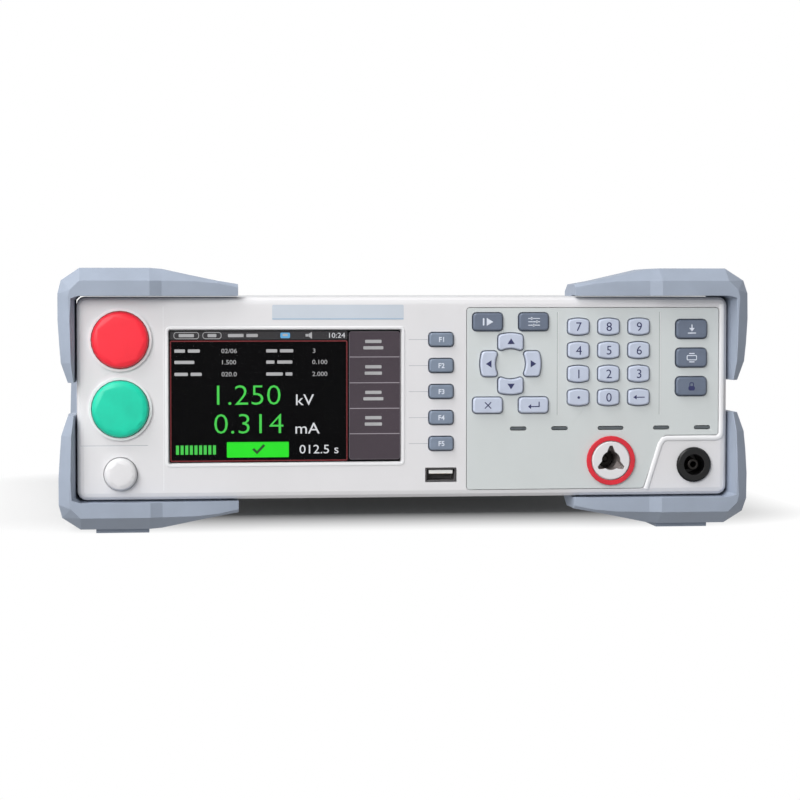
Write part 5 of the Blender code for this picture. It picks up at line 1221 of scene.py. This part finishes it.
@dataclass
class Controls(Assembly):
    """The keys and push buttons, each on its own body, with their figures."""

    key_rounding: float = 0.00035
    button_rounding: float = 0.0007
    figure_height: float = 0.0039
    small_figure_height: float = 0.0021
    point_radius: float = 0.0006
    figure_proud: float = 0.00004
    figure_depth: float = 0.0001
    mark_size: float = 0.0031

    def build(self) -> None:
        """Dress every key and push button, and mark each key."""
        for node in sorted(frame["bodies"]):
            if node.startswith("key_"):
                self.dress_node(node, f"{node}_cap", self.key_rounding, 3, node)
                self._mark_key(node)
            elif node.endswith("_button"):
                self.dress_node(node, f"{node}_cap", self.button_rounding, 4, node)

    def _mark_key(self, node: str) -> None:
        """Put a figure or a plain mark on a key's cap."""
        low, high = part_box(node)
        x, z = (low.x + high.x) / 2, (low.z + high.z) / 2 - PANEL_Z
        near = low.y - PANEL_Y - self.figure_proud
        name = node.removeprefix("key_")
        dark = NODE_SLOTS[node] == "pale_key" or name == "lock"
        shape = bmesh.new()
        if name.isdigit():
            add_text(shape, name, self.figure_height, x, z, near, self.figure_depth)
        elif name[0] == "f":
            add_text(shape, name.upper(), self.small_figure_height, x, z, near, self.figure_depth,
                     bold=0.02)
        elif name == "point":
            add_slab(shape, disc(self.point_radius, x, z, 20), near, near + self.figure_depth)
        else:
            self._draw(shape, KEY_MARKS[name], x, z, near)
        figure = make_object(f"{node}_figure", shape, [NAVY_INK if dark else PALE_INK])
        self.set_on(figure, NODE_SLOTS[node], node)

    def _draw(self, shape: bmesh.types.BMesh, mark: Mark, x: float, z: float, near: float) -> None:
        """Add one of the plain marks, whose strokes are given in units from its middle.

        Args:
            shape: The bmesh that it joins.
            mark: Which mark.
            x: Of its middle.
            z: Of its middle.
            near: Depth of its front.
        """
        unit = self.mark_size / 2
        far = near + self.figure_depth
        for points in MARK_FACES[mark]:
            add_slab(shape, [(x + px * unit, z + pz * unit) for px, pz in points], near, far)
        for px, pz, width, height in MARK_BARS.get(mark, ()):
            radius = min(width, height) * unit * 0.4
            add_slab(shape, rounded(width * unit, height * unit, radius, x + px * unit, z + pz * unit),
                     near - self.figure_proud / 4, far)
        for px, pz, width, height, line in MARK_RINGS.get(mark, ()):
            outer = rounded(width * unit, height * unit, line * unit * 1.5, x + px * unit, z + pz * unit)
            add_frame(shape, outer, grown(outer, -line * unit), near, far)


@dataclass
class Display(Assembly):
    """The window, and the lit picture bonded to its back: figures and plain blocks."""

    near: float = 0.00156
    layer: float = 0.00004
    column_left: float = 0.0281
    column_right: float = 0.0501
    field_left: float = -0.0501
    field_right: float = 0.0271
    field_top: float = 0.0243
    field_bottom: float = -0.0283
    large_height: float = 0.008
    large_bold: float = -0.012

    def build(self) -> None:
        """Dress the window and make the picture behind it."""
        self.dress_node("display_window", "display_window_pane", 0.0002, 2)
        low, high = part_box("display_window")
        self.x = (low.x + high.x) / 2
        self.z = (low.z + high.z) / 2 - PANEL_Z
        self._glass(high.x - low.x, high.z - low.z)
        self._fields()
        self._readings()
        self._blocks()
        self._level_bar()

    def _at(self, level: int) -> tuple[float, float]:
        """Front and back depth of a layer, where a higher one is nearer."""
        near = self.near + self.layer * (3 - level)
        return near, near + self.layer * 0.8

    def _glass(self, width: float, height: float) -> None:
        """The dark sheet that carries the picture."""
        shape = bmesh.new()
        near = self._at(0)[0]
        add_slab(shape, rounded(width - 0.0002, height - 0.0002, 0.0007, self.x, self.z),
                 near, near + 0.0001)
        self.set_on(make_object("display_glass", shape, [SCREEN_GLASS]), "window_acrylic")

    def _box(self, shape: bmesh.types.BMesh, left: float, right: float, low: float, high: float,
             level: int, material: int = 0, corner: float = 0.0002) -> None:
        """Add a filled box of the picture, by its sides from the window's middle."""
        near, far = self._at(level)
        outline = rounded(right - left, high - low, corner, self.x + (left + right) / 2,
                          self.z + (low + high) / 2, 2)
        add_slab(shape, outline, near, far, material)

    def _outline(self, shape: bmesh.types.BMesh, left: float, right: float, low: float,
                 high: float, width: float, material: int = 0, corner: float = 0.0004) -> None:
        """Add an empty box of the picture, by its outer sides."""
        near, far = self._at(2)
        outer = rounded(right - left, high - low, max(corner, width * 1.4),
                        self.x + (left + right) / 2, self.z + (low + high) / 2, 3)
        add_frame(shape, outer, grown(outer, -width), near, far, material)

    def _fields(self) -> None:
        """The status bar, the framed field and the column of soft-key labels."""
        shape = bmesh.new()
        self._box(shape, self.field_left, self.field_right, 0.0247, 0.0283, 1, 0)
        self._outline(shape, self.field_left, self.field_right, self.field_bottom,
                      self.field_top, 0.0005, 1)
        self._box(shape, self.column_left, self.column_right, -0.0276, 0.0279, 1, 2, 0.0009)
        for z in (0.0170, 0.0057, -0.0055, -0.0166):
            self._box(shape, self.column_left, self.column_right, z - 0.00017, z + 0.00017, 2, 3,
                      0.0001)
        self._outline(shape, self.column_left - 0.0003, self.column_right + 0.0002, -0.0279,
                      0.0282, 0.0003, 4, 0.0011)
        self.set_on(make_object("display_fields", shape,
                                [SCREEN_BAR, SCREEN_FRAME, SCREEN_COLUMN, SCREEN_RULE, SCREEN_EDGE]),
                    "window_acrylic")

    def _readings(self) -> None:
        """Two large green readings, their units and the running time."""
        shape = bmesh.new()
        near, far = self._at(2)
        thick = far - near
        for words, height, x, z, material in (
                ("1.250", 0.0088, -0.0160, 0.0006, 0), ("0.314", 0.0088, -0.0160, -0.0119, 0),
                ("kV", 0.0048, 0.0085, -0.0016, 1), ("mA", 0.0048, 0.0096, -0.0140, 1),
                ("012.5 s", 0.0038, 0.0146, -0.0232, 1), ("10:24", 0.0022, 0.0226, 0.0265, 1),
                ("02/06", 0.0019, -0.0245, 0.0198, 2), ("1.500", 0.0019, -0.0245, 0.0149, 2),
                ("020.0", 0.0019, -0.0245, 0.0097, 2), ("3", 0.0019, 0.0125, 0.0198, 2),
                ("0.100", 0.0019, 0.0150, 0.0149, 2), ("2.000", 0.0019, 0.0150, 0.0097, 2)):
            bold = self.large_bold if height > self.large_height else 0.0
            add_text(shape, words, height, self.x + x, self.z + z, near, thick, material, 1.12, bold)
        self.set_on(make_object("display_readings", shape, [SCREEN_GREEN, SCREEN_WHITE, SCREEN_GREY]),
                    "window_acrylic")

    def _blocks(self) -> None:
        """Plain blocks where a display has its small words, and plain symbols."""
        shape = bmesh.new()
        for left, z, lengths in ((-0.0482, 0.0198, (0.0046, 0.0052)), (-0.0482, 0.0149, (0.0086,)),
                                 (-0.0482, 0.0097, (0.0058, 0.0048)), (-0.0084, 0.0198, (0.0048, 0.0058)),
                                 (-0.0084, 0.0149, (0.0036, 0.0066)), (-0.0084, 0.0097, (0.0072, 0.0030)),
                                 (-0.0250, 0.0265, (0.0068, 0.0050))):
            start = left
            for length in lengths:
                self._box(shape, start, start + length, z - 0.0007, z + 0.0007, 2, 0, 0.0003)
                start += length + 0.0012
        for row, z in enumerate((0.0224, 0.0113, 0.0001, -0.0110)):
            for line, length in ((0.0014, 0.0072), (-0.0014, 0.0088 - 0.0012 * (row % 2))):
                middle = (self.column_left + self.column_right) / 2 - 0.0006
                self._box(shape, middle - length / 2, middle + length / 2, z + line - 0.0007,
                          z + line + 0.0007, 2, 0, 0.0003)
        for left, right in ((-0.0485, -0.0375), (-0.0360, -0.0278)):
            self._outline(shape, left, right, 0.0250, 0.0280, 0.00025, 0, 0.0012)
            self._box(shape, left + 0.0022, right - 0.0022, 0.0258, 0.0272, 2, 0, 0.0003)
        self._box(shape, -0.0022, 0.0020, 0.0253, 0.0277, 2, 1, 0.0005)
        self._box(shape, -0.0012, 0.0010, 0.0262, 0.0272, 3, 0, 0.0002)
        near, far = self._at(2)
        for points in (((0.0088, 0.0260), (0.0100, 0.0260), (0.0100, 0.0271), (0.0088, 0.0271)),
                       ((0.0101, 0.0260), (0.0116, 0.0250), (0.0116, 0.0280), (0.0101, 0.0271))):
            add_slab(shape, [(self.x + px, self.z + pz) for px, pz in points], near, far)
        self.set_on(make_object("display_blocks", shape, [SCREEN_GREY, SCREEN_BLUE]), "window_acrylic")

    def _level_bar(self) -> None:
        """A bright green box with a dark tick, and a short row of level marks."""
        shape = bmesh.new()
        self._box(shape, -0.0256, 0.0014, -0.0266, -0.0199, 1, 0, 0.0003)
        near, far = self._at(2)
        tick = [(-0.0146, -0.0232), (-0.0138, -0.0225), (-0.0125, -0.0238), (-0.0097, -0.0208),
                (-0.0089, -0.0216), (-0.0125, -0.0253)]
        add_slab(shape, [(self.x + px, self.z + pz) for px, pz in tick[::-1]], near, far, 1)
        self.set_on(make_object("display_verdict", shape, [SCREEN_LIME, SCREEN_DARK_GREEN]),
                    "window_acrylic")
        start = panel(self.x - 0.0470, self._at(2)[0] + 0.00002, self.z - 0.0232)
        marks = BARS.bars("display_level_marks", [start], 9, Vector((0.0020, 0.0, 0.0)),
                          Vector((0.0013, 0.00003, 0.0040)), SCREEN_GREEN)
        self.set_on(marks, "window_acrylic")


@dataclass
class Sockets(Assembly):
    """The three sockets at the foot of the panel."""

    rounding: float = 0.0002
    usb_half_width: float = 0.0063
    usb_half_height: float = 0.0025
    usb_front: float = 0.0001
    usb_depth: float = 0.0113
    tongue_half_width: float = 0.0053
    tongue_low: float = 0.0004
    tongue_high: float = 0.0021
    contact_count: int = 4
    contact_pitch: float = 0.0023
    contact_width: float = 0.0010
    contact_length: float = 0.0070
    contact_thickness: float = 0.0001
    contact_start: float = 0.0013
    contact_edge: float = 0.00003
    well_reach: float = 0.0068
    well_start: float = -0.0013

    def build(self) -> None:
        """Dress the sockets' own solids and add the contacts."""
        # Painted shade: a darkened shell and a grey hollow under the pale tongue.
        self.dress_node("usb_socket", "usb_shell", 0.0001, 2, finish=USB_SHELL_SHADE,
                        further=(TONGUE_PLASTIC, USB_HOLLOW_SHADE), tone=self._usb_tone)
        self._usb_contacts()
        self.dress_node("high_voltage_bush", "high_voltage_insulator", self.rounding, 2,
                        further=(WELL_SHADE_GREY,), tone=self._mouth_shade_tone)
        self.dress_node("high_voltage_ring", "high_voltage_red_ring", self.rounding, 2)
        # The pin here and the return post below take the contact metal with painted shade.
        self.dress_node("high_voltage_contact", "high_voltage_pin", self.rounding, 2,
                        finish=PIN_SHADE_METAL)
        self.dress_node("return_socket", "return_shroud", self.rounding, 2)
        self.dress_node("return_contact", "return_post", self.rounding, 2, finish=PIN_SHADE_METAL)

    def _usb_tone(self, place: Vector) -> int:
        """Pale for the tongue, and for the hollow round it a grey that is painted shade."""
        x, _, z = place - middle_of("usb_socket")
        depth = place.y - PANEL_Y
        if abs(x) > self.usb_half_width or abs(z) > self.usb_half_height:
            return 0
        if not self.usb_front < depth < self.usb_depth:
            return 0
        return 1 if abs(x) < self.tongue_half_width and self.tongue_low < z < self.tongue_high else 2

    def _usb_contacts(self) -> None:
        """The contacts under the tongue."""
        middle = middle_of("usb_socket")
        start = Vector((middle.x - self.contact_pitch * (self.contact_count - 1) / 2,
                        PANEL_Y + self.contact_start + self.contact_length / 2,
                        middle.z + self.tongue_low))
        contacts = BARS.bars("usb_contacts", [start], self.contact_count,
                             Vector((self.contact_pitch, 0.0, 0.0)),
                             Vector((self.contact_width, self.contact_length, self.contact_thickness)),
                             CONTACT_METAL, self.contact_edge)
        self.set_on(contacts, "contact_metal")

    def _mouth_shade_tone(self, place: Vector) -> int:
        """Painted shade and light: a mid grey for the walls of the high-voltage socket's mouth, which
        stands in for the shaded and lit walls inside it.
        """
        x, _, z = place - middle_of("high_voltage_ring")
        return int(math.hypot(x, z) < self.well_reach and place.y - PANEL_Y > self.well_start)


@dataclass
class Case(Assembly):
    """The sheet-metal case and what is on its rear."""

    rounding: float = 0.0003
    screw_radius: float = 0.0029
    screw_height: float = 0.0015
    side_screw_y: float = 0.075
    side_screw_z: float = 0.0266
    rear_screw_x: float = 0.1285
    rear_screw_z: tuple[float, float] = (0.0221, 0.0951)
    fan_screw_reach: float = 0.025
    inlet_screw_reach: float = 0.0195
    jack_reach: float = 0.0125
    jack_radius: float = 0.0022
    jack_height: float = 0.003
    terminal_screw_radius: float = 0.0013
    terminal_screw_rise: float = 0.0034
    terminal_screw_height: float = 0.0006
    terminal_ways: int = 9
    terminal_width: float = 0.044
    terminal_margin: float = 0.005
    terminal_room: float = 0.001
    terminal_hollow: Point = (0.00145, 0.0044)
    sheet_back: float = 0.0005
    board_end: float = -0.0138
    network_offset: float = 0.0509
    network_half_width: float = 0.0060
    network_hollow: Point = (0.0043, 0.0009)
    network_first: tuple[float, float, float] = (-0.0036, -0.0050, -0.0034)
    network_ways: int = 8
    network_pitch: float = 0.00102
    network_contact: tuple[float, float, float] = (0.0005, 0.0080, 0.0005)
    serial_offset: float = 0.01375
    serial_face: tuple[Point, ...] = ((-0.0064, -0.0030), (0.0064, -0.0030), (0.0074, 0.0030),
                                      (-0.0074, 0.0030))
    serial_face_start: float = 0.0053
    serial_face_thickness: float = 0.0006
    serial_rows: tuple[tuple[float, float, int], ...] = ((-0.0055, 0.0014, 5), (-0.0041, -0.0014, 4))
    serial_pin_start: float = 0.0058
    serial_pin_pitch: float = 0.00276
    serial_pin: tuple[float, float, float] = (0.0010, 0.0006, 0.0010)
    serial_pin_edge: float = 0.0002
    jack_start: float = 0.0010
    pin_reach: Point = (0.0085, 0.0045)
    pin_depths: Point = (-0.0133, -0.0005)
    plate_middle: Point = (-0.006, -0.0256)
    plate_size: Point = (0.062, 0.018)
    plate_thickness: float = 0.0003

    def build(self) -> None:
        """Dress the case and put its screws in."""
        self.dress_node("top_cover", "cover_sheet", self.rounding, 2, join_flat=False)
        self.dress_node("chassis_tray", "tray_sheet", self.rounding, 2, join_flat=False)
        self.dress_node("rear_panel", "rear_sheet", self.rounding, 2, join_flat=False,
                        further=(PLATED_STEEL,),
                        tone=lambda place: int(place.y > REAR_Y + self.sheet_back))
        self.dress_node("fan_frame", "fan_housing", self.rounding, 2, join_flat=False)
        self.dress_node("fan_rotor", "fan_blades", self.rounding, 2, "fan_rotor")
        self.dress_node("mains_inlet", "mains_inlet_moulding", self.rounding, 2,
                        further=(PLATED_STEEL,), tone=self._inlet_tone)
        self.dress_node("rear_interface", "rear_connectors", 0.0002, 2,
                        further=(PLATED_STEEL, TERMINAL_GREEN, OPENING_SHADE), tone=self._rear_tone)
        self._case_screws()
        self._rear_screws()
        self._rear_contacts()
        self._rating_plate()

    def _inlet_tone(self, place: Vector) -> int:
        """Bright for the three pins."""
        x, _, z = place - middle_of("mains_inlet")
        inside = abs(x) < self.pin_reach[0] and abs(z) < self.pin_reach[1]
        return int(inside and self.pin_depths[0] < place.y - REAR_Y < self.pin_depths[1])

    def _rear_tone(self, place: Vector) -> int:
        """Plated shells, a green terminal block, and painted shade in the openings of the terminal block
        and of the network socket.
        """
        low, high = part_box("rear_interface")
        behind = place.y - REAR_Y
        off_level = abs(place.z - (low.z + high.z) / 2)
        if behind < self.board_end:
            return 0
        if place.x > high.x - self.terminal_width - self.terminal_margin - self.terminal_room:
            reach, end = self.terminal_hollow
            return 3 if off_level < reach and behind < end else 2
        reach, end = self.network_hollow
        network = abs(place.x - low.x - self.network_offset) < self.network_half_width
        return 3 if network and off_level < reach and behind < end else 1

    def _case_screws(self) -> None:
        """Two screws on each side and four on the rear."""
        half = self.screw_height / 2
        side = BEZEL_HIGH.x + half
        places = [Vector((x, y, self.side_screw_z)) for x in (-side, side)
                  for y in (-self.side_screw_y, self.side_screw_y)]
        facings = [Vector((math.copysign(1.0, place.x), 0.0, 0.0)) for place in places]
        for x in (-self.rear_screw_x, self.rear_screw_x):
            for z in self.rear_screw_z:
                places.append(Vector((x, REAR_Y + half, z)))
                facings.append(BACKWARDS)
        screws = SCREWS.heads("case_screws", places, facings, self.screw_radius, self.screw_height,
                              PLATED_STEEL)
        self.set_on(screws, "plated_steel")

    def _rear_screws(self) -> None:
        """Screws of the fan and the inlet, the serial socket's posts and the terminal screws."""
        half = self.screw_height / 2
        fan, inlet = middle_of("fan_frame"), middle_of("mains_inlet")
        inlet_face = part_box("mains_inlet")[1].y
        reach = self.fan_screw_reach
        places = [Vector((fan.x + x, REAR_Y + half, fan.z + z)) for x in (-reach, reach)
                  for z in (-reach, reach)]
        places += [Vector((inlet.x + x, inlet_face + half, inlet.z))
                   for x in (-self.inlet_screw_reach, self.inlet_screw_reach)]
        screws = SCREWS.heads("rear_screws", places, [BACKWARDS] * len(places), self.screw_radius,
                              self.screw_height, PLATED_STEEL)
        self.set_on(screws, "plated_steel")
        low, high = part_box("rear_interface")
        first = low.x + self.serial_offset
        level = (low.z + high.z) / 2
        shape = bmesh.new()
        for x in (-self.jack_reach, self.jack_reach):
            near = REAR_Y - PANEL_Y + self.jack_start
            hexagon = disc(self.jack_radius, first + x, level - PANEL_Z, 6)
            add_frame(shape, hexagon, disc(self.jack_radius * 0.5, first + x, level - PANEL_Z, 6),
                      near, near + self.jack_height)
        posts = soften(make_object("serial_posts", shape, [PLATED_STEEL]), 0.0002, 2)
        self.set_on(posts, "plated_steel")
        middle = high.x - self.terminal_margin - self.terminal_width / 2
        pitch = self.terminal_width / self.terminal_ways
        starts = [Vector((middle + (way - (self.terminal_ways - 1) / 2) * pitch, high.y,
                          level + self.terminal_screw_rise)) for way in range(self.terminal_ways)]
        small = SCREWS.heads("terminal_screws", starts, [BACKWARDS] * len(starts),
                             self.terminal_screw_radius, self.terminal_screw_height, PLATED_STEEL)
        self.set_on(small, "plated_steel")

    def _rear_contacts(self) -> None:
        """The network socket's contacts and the serial socket's pins."""
        low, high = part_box("rear_interface")
        level = (low.z + high.z) / 2
        start = Vector((low.x + self.network_offset, REAR_Y, level)) + Vector(self.network_first)
        contacts = BARS.bars("network_contacts", [start], self.network_ways,
                             Vector((self.network_pitch, 0.0, 0.0)), Vector(self.network_contact),
                             CONTACT_METAL)
        self.set_on(contacts, "contact_metal")
        serial = low.x + self.serial_offset
        shape = bmesh.new()
        near = REAR_Y - PANEL_Y + self.serial_face_start
        add_slab(shape, moved(list(self.serial_face), serial, level - PANEL_Z), near,
                 near + self.serial_face_thickness)
        face = soften(make_object("serial_face", shape, [BLACK_PLASTIC]), 0.0003, 2)
        self.set_on(face, "black_plastic")
        for number, (x, z, count) in enumerate(self.serial_rows, 1):
            row = Vector((serial + x, REAR_Y + self.serial_pin_start, level + z))
            pins = BARS.bars(f"serial_pins_{number}", [row], count,
                             Vector((self.serial_pin_pitch, 0.0, 0.0)), Vector(self.serial_pin),
                             CONTACT_METAL, self.serial_pin_edge)
            self.set_on(pins, "contact_metal")

    def _rating_plate(self) -> None:
        """A bare metal plate with a printed border."""
        shape = bmesh.new()
        face = REAR_Y - PANEL_Y
        x, z = self.plate_middle
        width, height = self.plate_size
        outer = rounded(width, height, 0.0015, x, z)
        add_slab(shape, outer, face - 0.0001, face + self.plate_thickness)
        border = grown(outer, -0.0008)
        add_frame(shape, border, grown(border, -0.0003), face, face + self.plate_thickness + 0.00004,
                  material=1)
        self.set_on(make_object("rating_plate", shape, [BRUSHED_FOIL, GAP_SHADOW_AND_BORDER_PRINT]), "plated_steel")


@dataclass
class Electronics(Assembly):
    """The boards and transformers inside."""

    rounding: float = 0.0002
    board_top: float = 0.0257
    sink_half_width: float = 0.0452
    sink_near: float = -0.0101
    sink_far: float = 0.0401
    relay_far: float = -0.060
    capacitor_near: float = 0.075
    wire: float = 0.0006
    coil_overhangs: tuple[float, float] = (0.016, 0.013)
    coil_side_margin: float = 0.013
    coil_end_margin: float = 0.010
    foot_overhang: float = 0.010
    foot_height: float = 0.0021
    coil_edge: float = 0.0002
    winding_margin: float = 0.005
    board_skin: float = 0.0001
    module_depth: float = 0.0112
    module_left: float = -0.1075
    part_start: float = 0.012
    chip_rows: tuple[Point, ...] = ((0.0, -0.035), (0.006, 0.060))
    chip_count: int = 6
    chip_pitch: float = 0.0235
    chip_size: tuple[float, float, float] = (0.010, 0.007, 0.0018)
    chip_lift: float = 0.001
    chip_edge: float = 0.0003
    resistor_rows: tuple[float, ...] = (-0.052, -0.024, 0.050, 0.070)
    resistor_count: int = 18
    resistor_pitch: float = 0.0072
    resistor_size: tuple[float, float, float] = (0.0020, 0.0012, 0.0008)
    resistor_lift: float = 0.0006
    resistor_edge: float = 0.0001

    def build(self) -> None:
        """Dress what is inside."""
        for node in ("key_board", "keypad_mat"):
            self.dress_node(node, f"{node}_dressed", self.rounding, 2)
        self.dress_node("display_board", "display_board_dressed", self.rounding, 2,
                        further=(PLATED_STEEL,), tone=self._module_tone)
        self.dress_node("main_board", "main_board_dressed", self.rounding, 2,
                        further=(SINK_METAL, RELAY_CASE, CAPACITOR_SLEEVE), tone=self._board_tone)
        for node, overhang in zip(("high_voltage_transformer", "mains_transformer"),
                                  self.coil_overhangs):
            self._transformer(node, overhang)
        self._small_parts()

    def _module_tone(self, place: Vector) -> int:
        """Plated for the display module's frame."""
        return int(place.y < PANEL_Y + self.module_depth and place.x > self.module_left)

    def _board_tone(self, place: Vector) -> int:
        """Metal for the heat sink, dark for the relays and blue for the capacitors."""
        if place.z < self.board_top + self.board_skin:
            return 0
        if self.sink_near < place.y < self.sink_far:
            return 1
        return 2 if place.y < self.relay_far else 3

    def _transformer(self, node: str, overhang: float) -> None:
        """Dress a transformer and wind the wire on its coil."""
        low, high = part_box(node)
        middle = (low + high) / 2
        width = high.x - low.x - 2 * (self.foot_overhang + self.coil_side_margin)
        depth = high.y - low.y
        bottom = low.z + self.coil_end_margin

        def tone(place: Vector) -> int:
            """Taped coil, and plated foot."""
            beside = abs(place.x - middle.x) > width / 2 + self.coil_side_margin
            if beside and place.z < low.z + self.foot_height:
                return 2
            return int(abs(place.y - middle.y) > depth / 2 - overhang + self.coil_edge)

        self.dress_node(node, f"{node}_core", self.rounding, 2, further=(COIL_TAPE, PLATED_STEEL),
                        tone=tone)
        margin = self.winding_margin
        turns = int((high.z - self.coil_end_margin - bottom - 2 * margin) / (2 * self.wire))
        start = Vector((middle.x, middle.y, bottom + margin + self.wire))
        coil = WINDINGS.coil(f"{node}_winding", start, width, depth - 2 * self.wire, margin, self.wire,
                             turns, COPPER_WIRE)
        self.set_on(coil, "contact_metal")

    def _small_parts(self) -> None:
        """Chips and resistors in rows on the main board."""
        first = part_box("main_board")[0].x + self.part_start
        top = self.board_top
        starts = [Vector((first + x, y, top + self.chip_lift)) for x, y in self.chip_rows]
        chips = BARS.bars("main_board_chips", starts, self.chip_count,
                          Vector((self.chip_pitch, 0.0, 0.0)), Vector(self.chip_size), BLACK_PLASTIC,
                          self.chip_edge)
        self.set_on(chips, "black_plastic")
        starts = [Vector((first, y, top + self.resistor_lift)) for y in self.resistor_rows]
        resistors = BARS.bars("main_board_resistors", starts, self.resistor_count,
                              Vector((self.resistor_pitch, 0.0, 0.0)), Vector(self.resistor_size),
                              CHIP_CERAMIC, self.resistor_edge)
        self.set_on(resistors, "circuit_board")


@dataclass(frozen=True)
class AreaLamp:
    """A soft rectangular lamp."""

    name: str
    place: tuple[float, float, float]
    size: float
    power: float
    colour: tuple[float, float, float] = (1.0, 1.0, 1.0)

    def build(self, target: Vector) -> None:
        """Add the lamp, aimed at a point."""
        data = bpy.data.lights.new(self.name, "AREA")
        data.shape = "SQUARE"
        data.size = self.size
        data.energy = self.power
        data.color = self.colour
        lamp = bpy.data.objects.new(self.name, data)
        lamp.location = self.place
        lamp.rotation_euler = (target - Vector(self.place)).to_track_quat("-Z", "Y").to_euler()
        bpy.context.scene.collection.objects.link(lamp)


@dataclass
class Studio:
    """The floor, the white surroundings, the lamps and the camera."""

    floor_radius: float = 3.0
    floor_colour: float = 0.72
    floor_lift: float = 0.02
    shadow_reach: tuple[float, float, float] = (0.12, 0.1, 1.0)
    fade_width: float = 0.085
    floor_glow: float = 0.35
    ambient: float = 0.26
    camera_place: tuple[float, float, float] = (-0.13, -1.235, 0.105)
    camera_yaw: float = -6.883
    camera_pitch: float = -2.574
    camera_lens: float = 108.86
    sensor: float = 36.0
    lamps: tuple[AreaLamp, ...] = (
        AreaLamp("key_lamp", (-0.75, -0.55, 1.25), 0.8, 13.0),
        AreaLamp("front_lamp", (-0.95, -1.8, 0.85), 1.2, 28.0),
    )

    def build(self) -> None:
        """Set the stage."""
        self._surroundings()
        self._floor()
        target = Vector((0.0, -0.05, 0.06))
        for lamp in self.lamps:
            lamp.build(target)
        self._camera()
        bpy.context.scene.view_settings.view_transform = "Standard"

    def _seen(self, graph: Graph) -> bpy.types.NodeSocket:
        """1 for rays of the camera, of gloss and of glass."""
        path = graph.add("ShaderNodeLightPath")
        sharp = graph.maths("MAXIMUM", path.outputs["Is Camera Ray"], path.outputs["Is Glossy Ray"])
        return graph.maths("MAXIMUM", sharp, path.outputs["Is Transmission Ray"])

    def _surroundings(self) -> None:
        """A world that looks white and lights the object evenly."""
        world = bpy.data.worlds.new("surroundings")
        world.use_nodes = True
        graph = Graph(world.node_tree)
        background = world.node_tree.nodes["Background"]
        background.inputs["Color"].default_value = (1, 1, 1, 1)
        strength = graph.spread(self._seen(graph), self.ambient, 1.0)
        world.node_tree.links.new(strength, background.inputs["Strength"])
        bpy.context.scene.world = world

    def _floor(self) -> None:
        """A pale floor that keeps the shadow and fades into the white."""
        shape = bmesh.new()
        bmesh.ops.create_circle(shape, cap_ends=True, radius=self.floor_radius, segments=64)
        floor_mesh = bpy.data.meshes.new("floor")
        shape.to_mesh(floor_mesh)
        shape.free()
        material = bpy.data.materials.new("floor_paper")
        material.use_nodes = True
        tree = material.node_tree
        graph = Graph(tree)
        shader = tree.nodes["Principled BSDF"]
        shader.inputs["Base Color"].default_value = (*[self.floor_colour] * 3, 1.0)
        shader.inputs["Roughness"].default_value = 0.9
        shader.inputs["Specular IOR Level"].default_value = 0.0
        shader.inputs["Emission Color"].default_value = (1, 1, 1, 1)
        lift = graph.maths("MULTIPLY", self._seen(graph), self.floor_lift)
        tree.links.new(lift, shader.inputs["Emission Strength"])
        place = graph.add("ShaderNodeTexCoord").outputs["Object"]
        size = graph.add("ShaderNodeVectorMath", {0: place}, operation="ABSOLUTE").outputs[0]
        past = graph.add("ShaderNodeVectorMath", {0: size, 1: self.shadow_reach}, operation="SUBTRACT")
        beyond = graph.add("ShaderNodeVectorMath", {0: past.outputs[0]}, operation="MAXIMUM")
        reach = graph.add("ShaderNodeVectorMath", {0: beyond.outputs[0]}, operation="LENGTH")
        fade = graph.spread(reach.outputs["Value"], 0.0, 1.0, 0.0, self.fade_width)
        glow = graph.spread(self._seen(graph), self.floor_glow, 1.0)
        white = graph.add("ShaderNodeEmission", {"Color": (1, 1, 1, 1), "Strength": glow})
        mixed = graph.add("ShaderNodeMixShader", {0: fade, 1: shader.outputs[0], 2: white.outputs[0]})
        tree.links.new(mixed.outputs[0], tree.nodes["Material Output"].inputs["Surface"])
        floor_mesh.materials.append(material)
        floor = bpy.data.objects.new("floor", floor_mesh)
        bpy.context.scene.collection.objects.link(floor)

    def _camera(self) -> None:
        """The camera at the photograph's viewing angle."""
        data = bpy.data.cameras.new("camera")
        data.lens = self.camera_lens
        data.sensor_width = self.sensor
        data.clip_start = 0.05
        camera = bpy.data.objects.new("camera", data)
        camera.location = self.camera_place
        camera.rotation_euler = (math.radians(90 + self.camera_pitch), 0.0,
                                 math.radians(self.camera_yaw))
        bpy.context.scene.collection.objects.link(camera)
        bpy.context.scene.camera = camera


def main() -> None:
    """Build every sub-assembly and the stage."""
    for assembly in (CornerGuards(), FrontPanel(), Display(), Controls(), Sockets(), Case(),
                     Electronics()):
        LOG.info("%s", type(assembly).__name__)
        assembly.build()
    Studio().build()


if __name__ == "__main__":
    main()
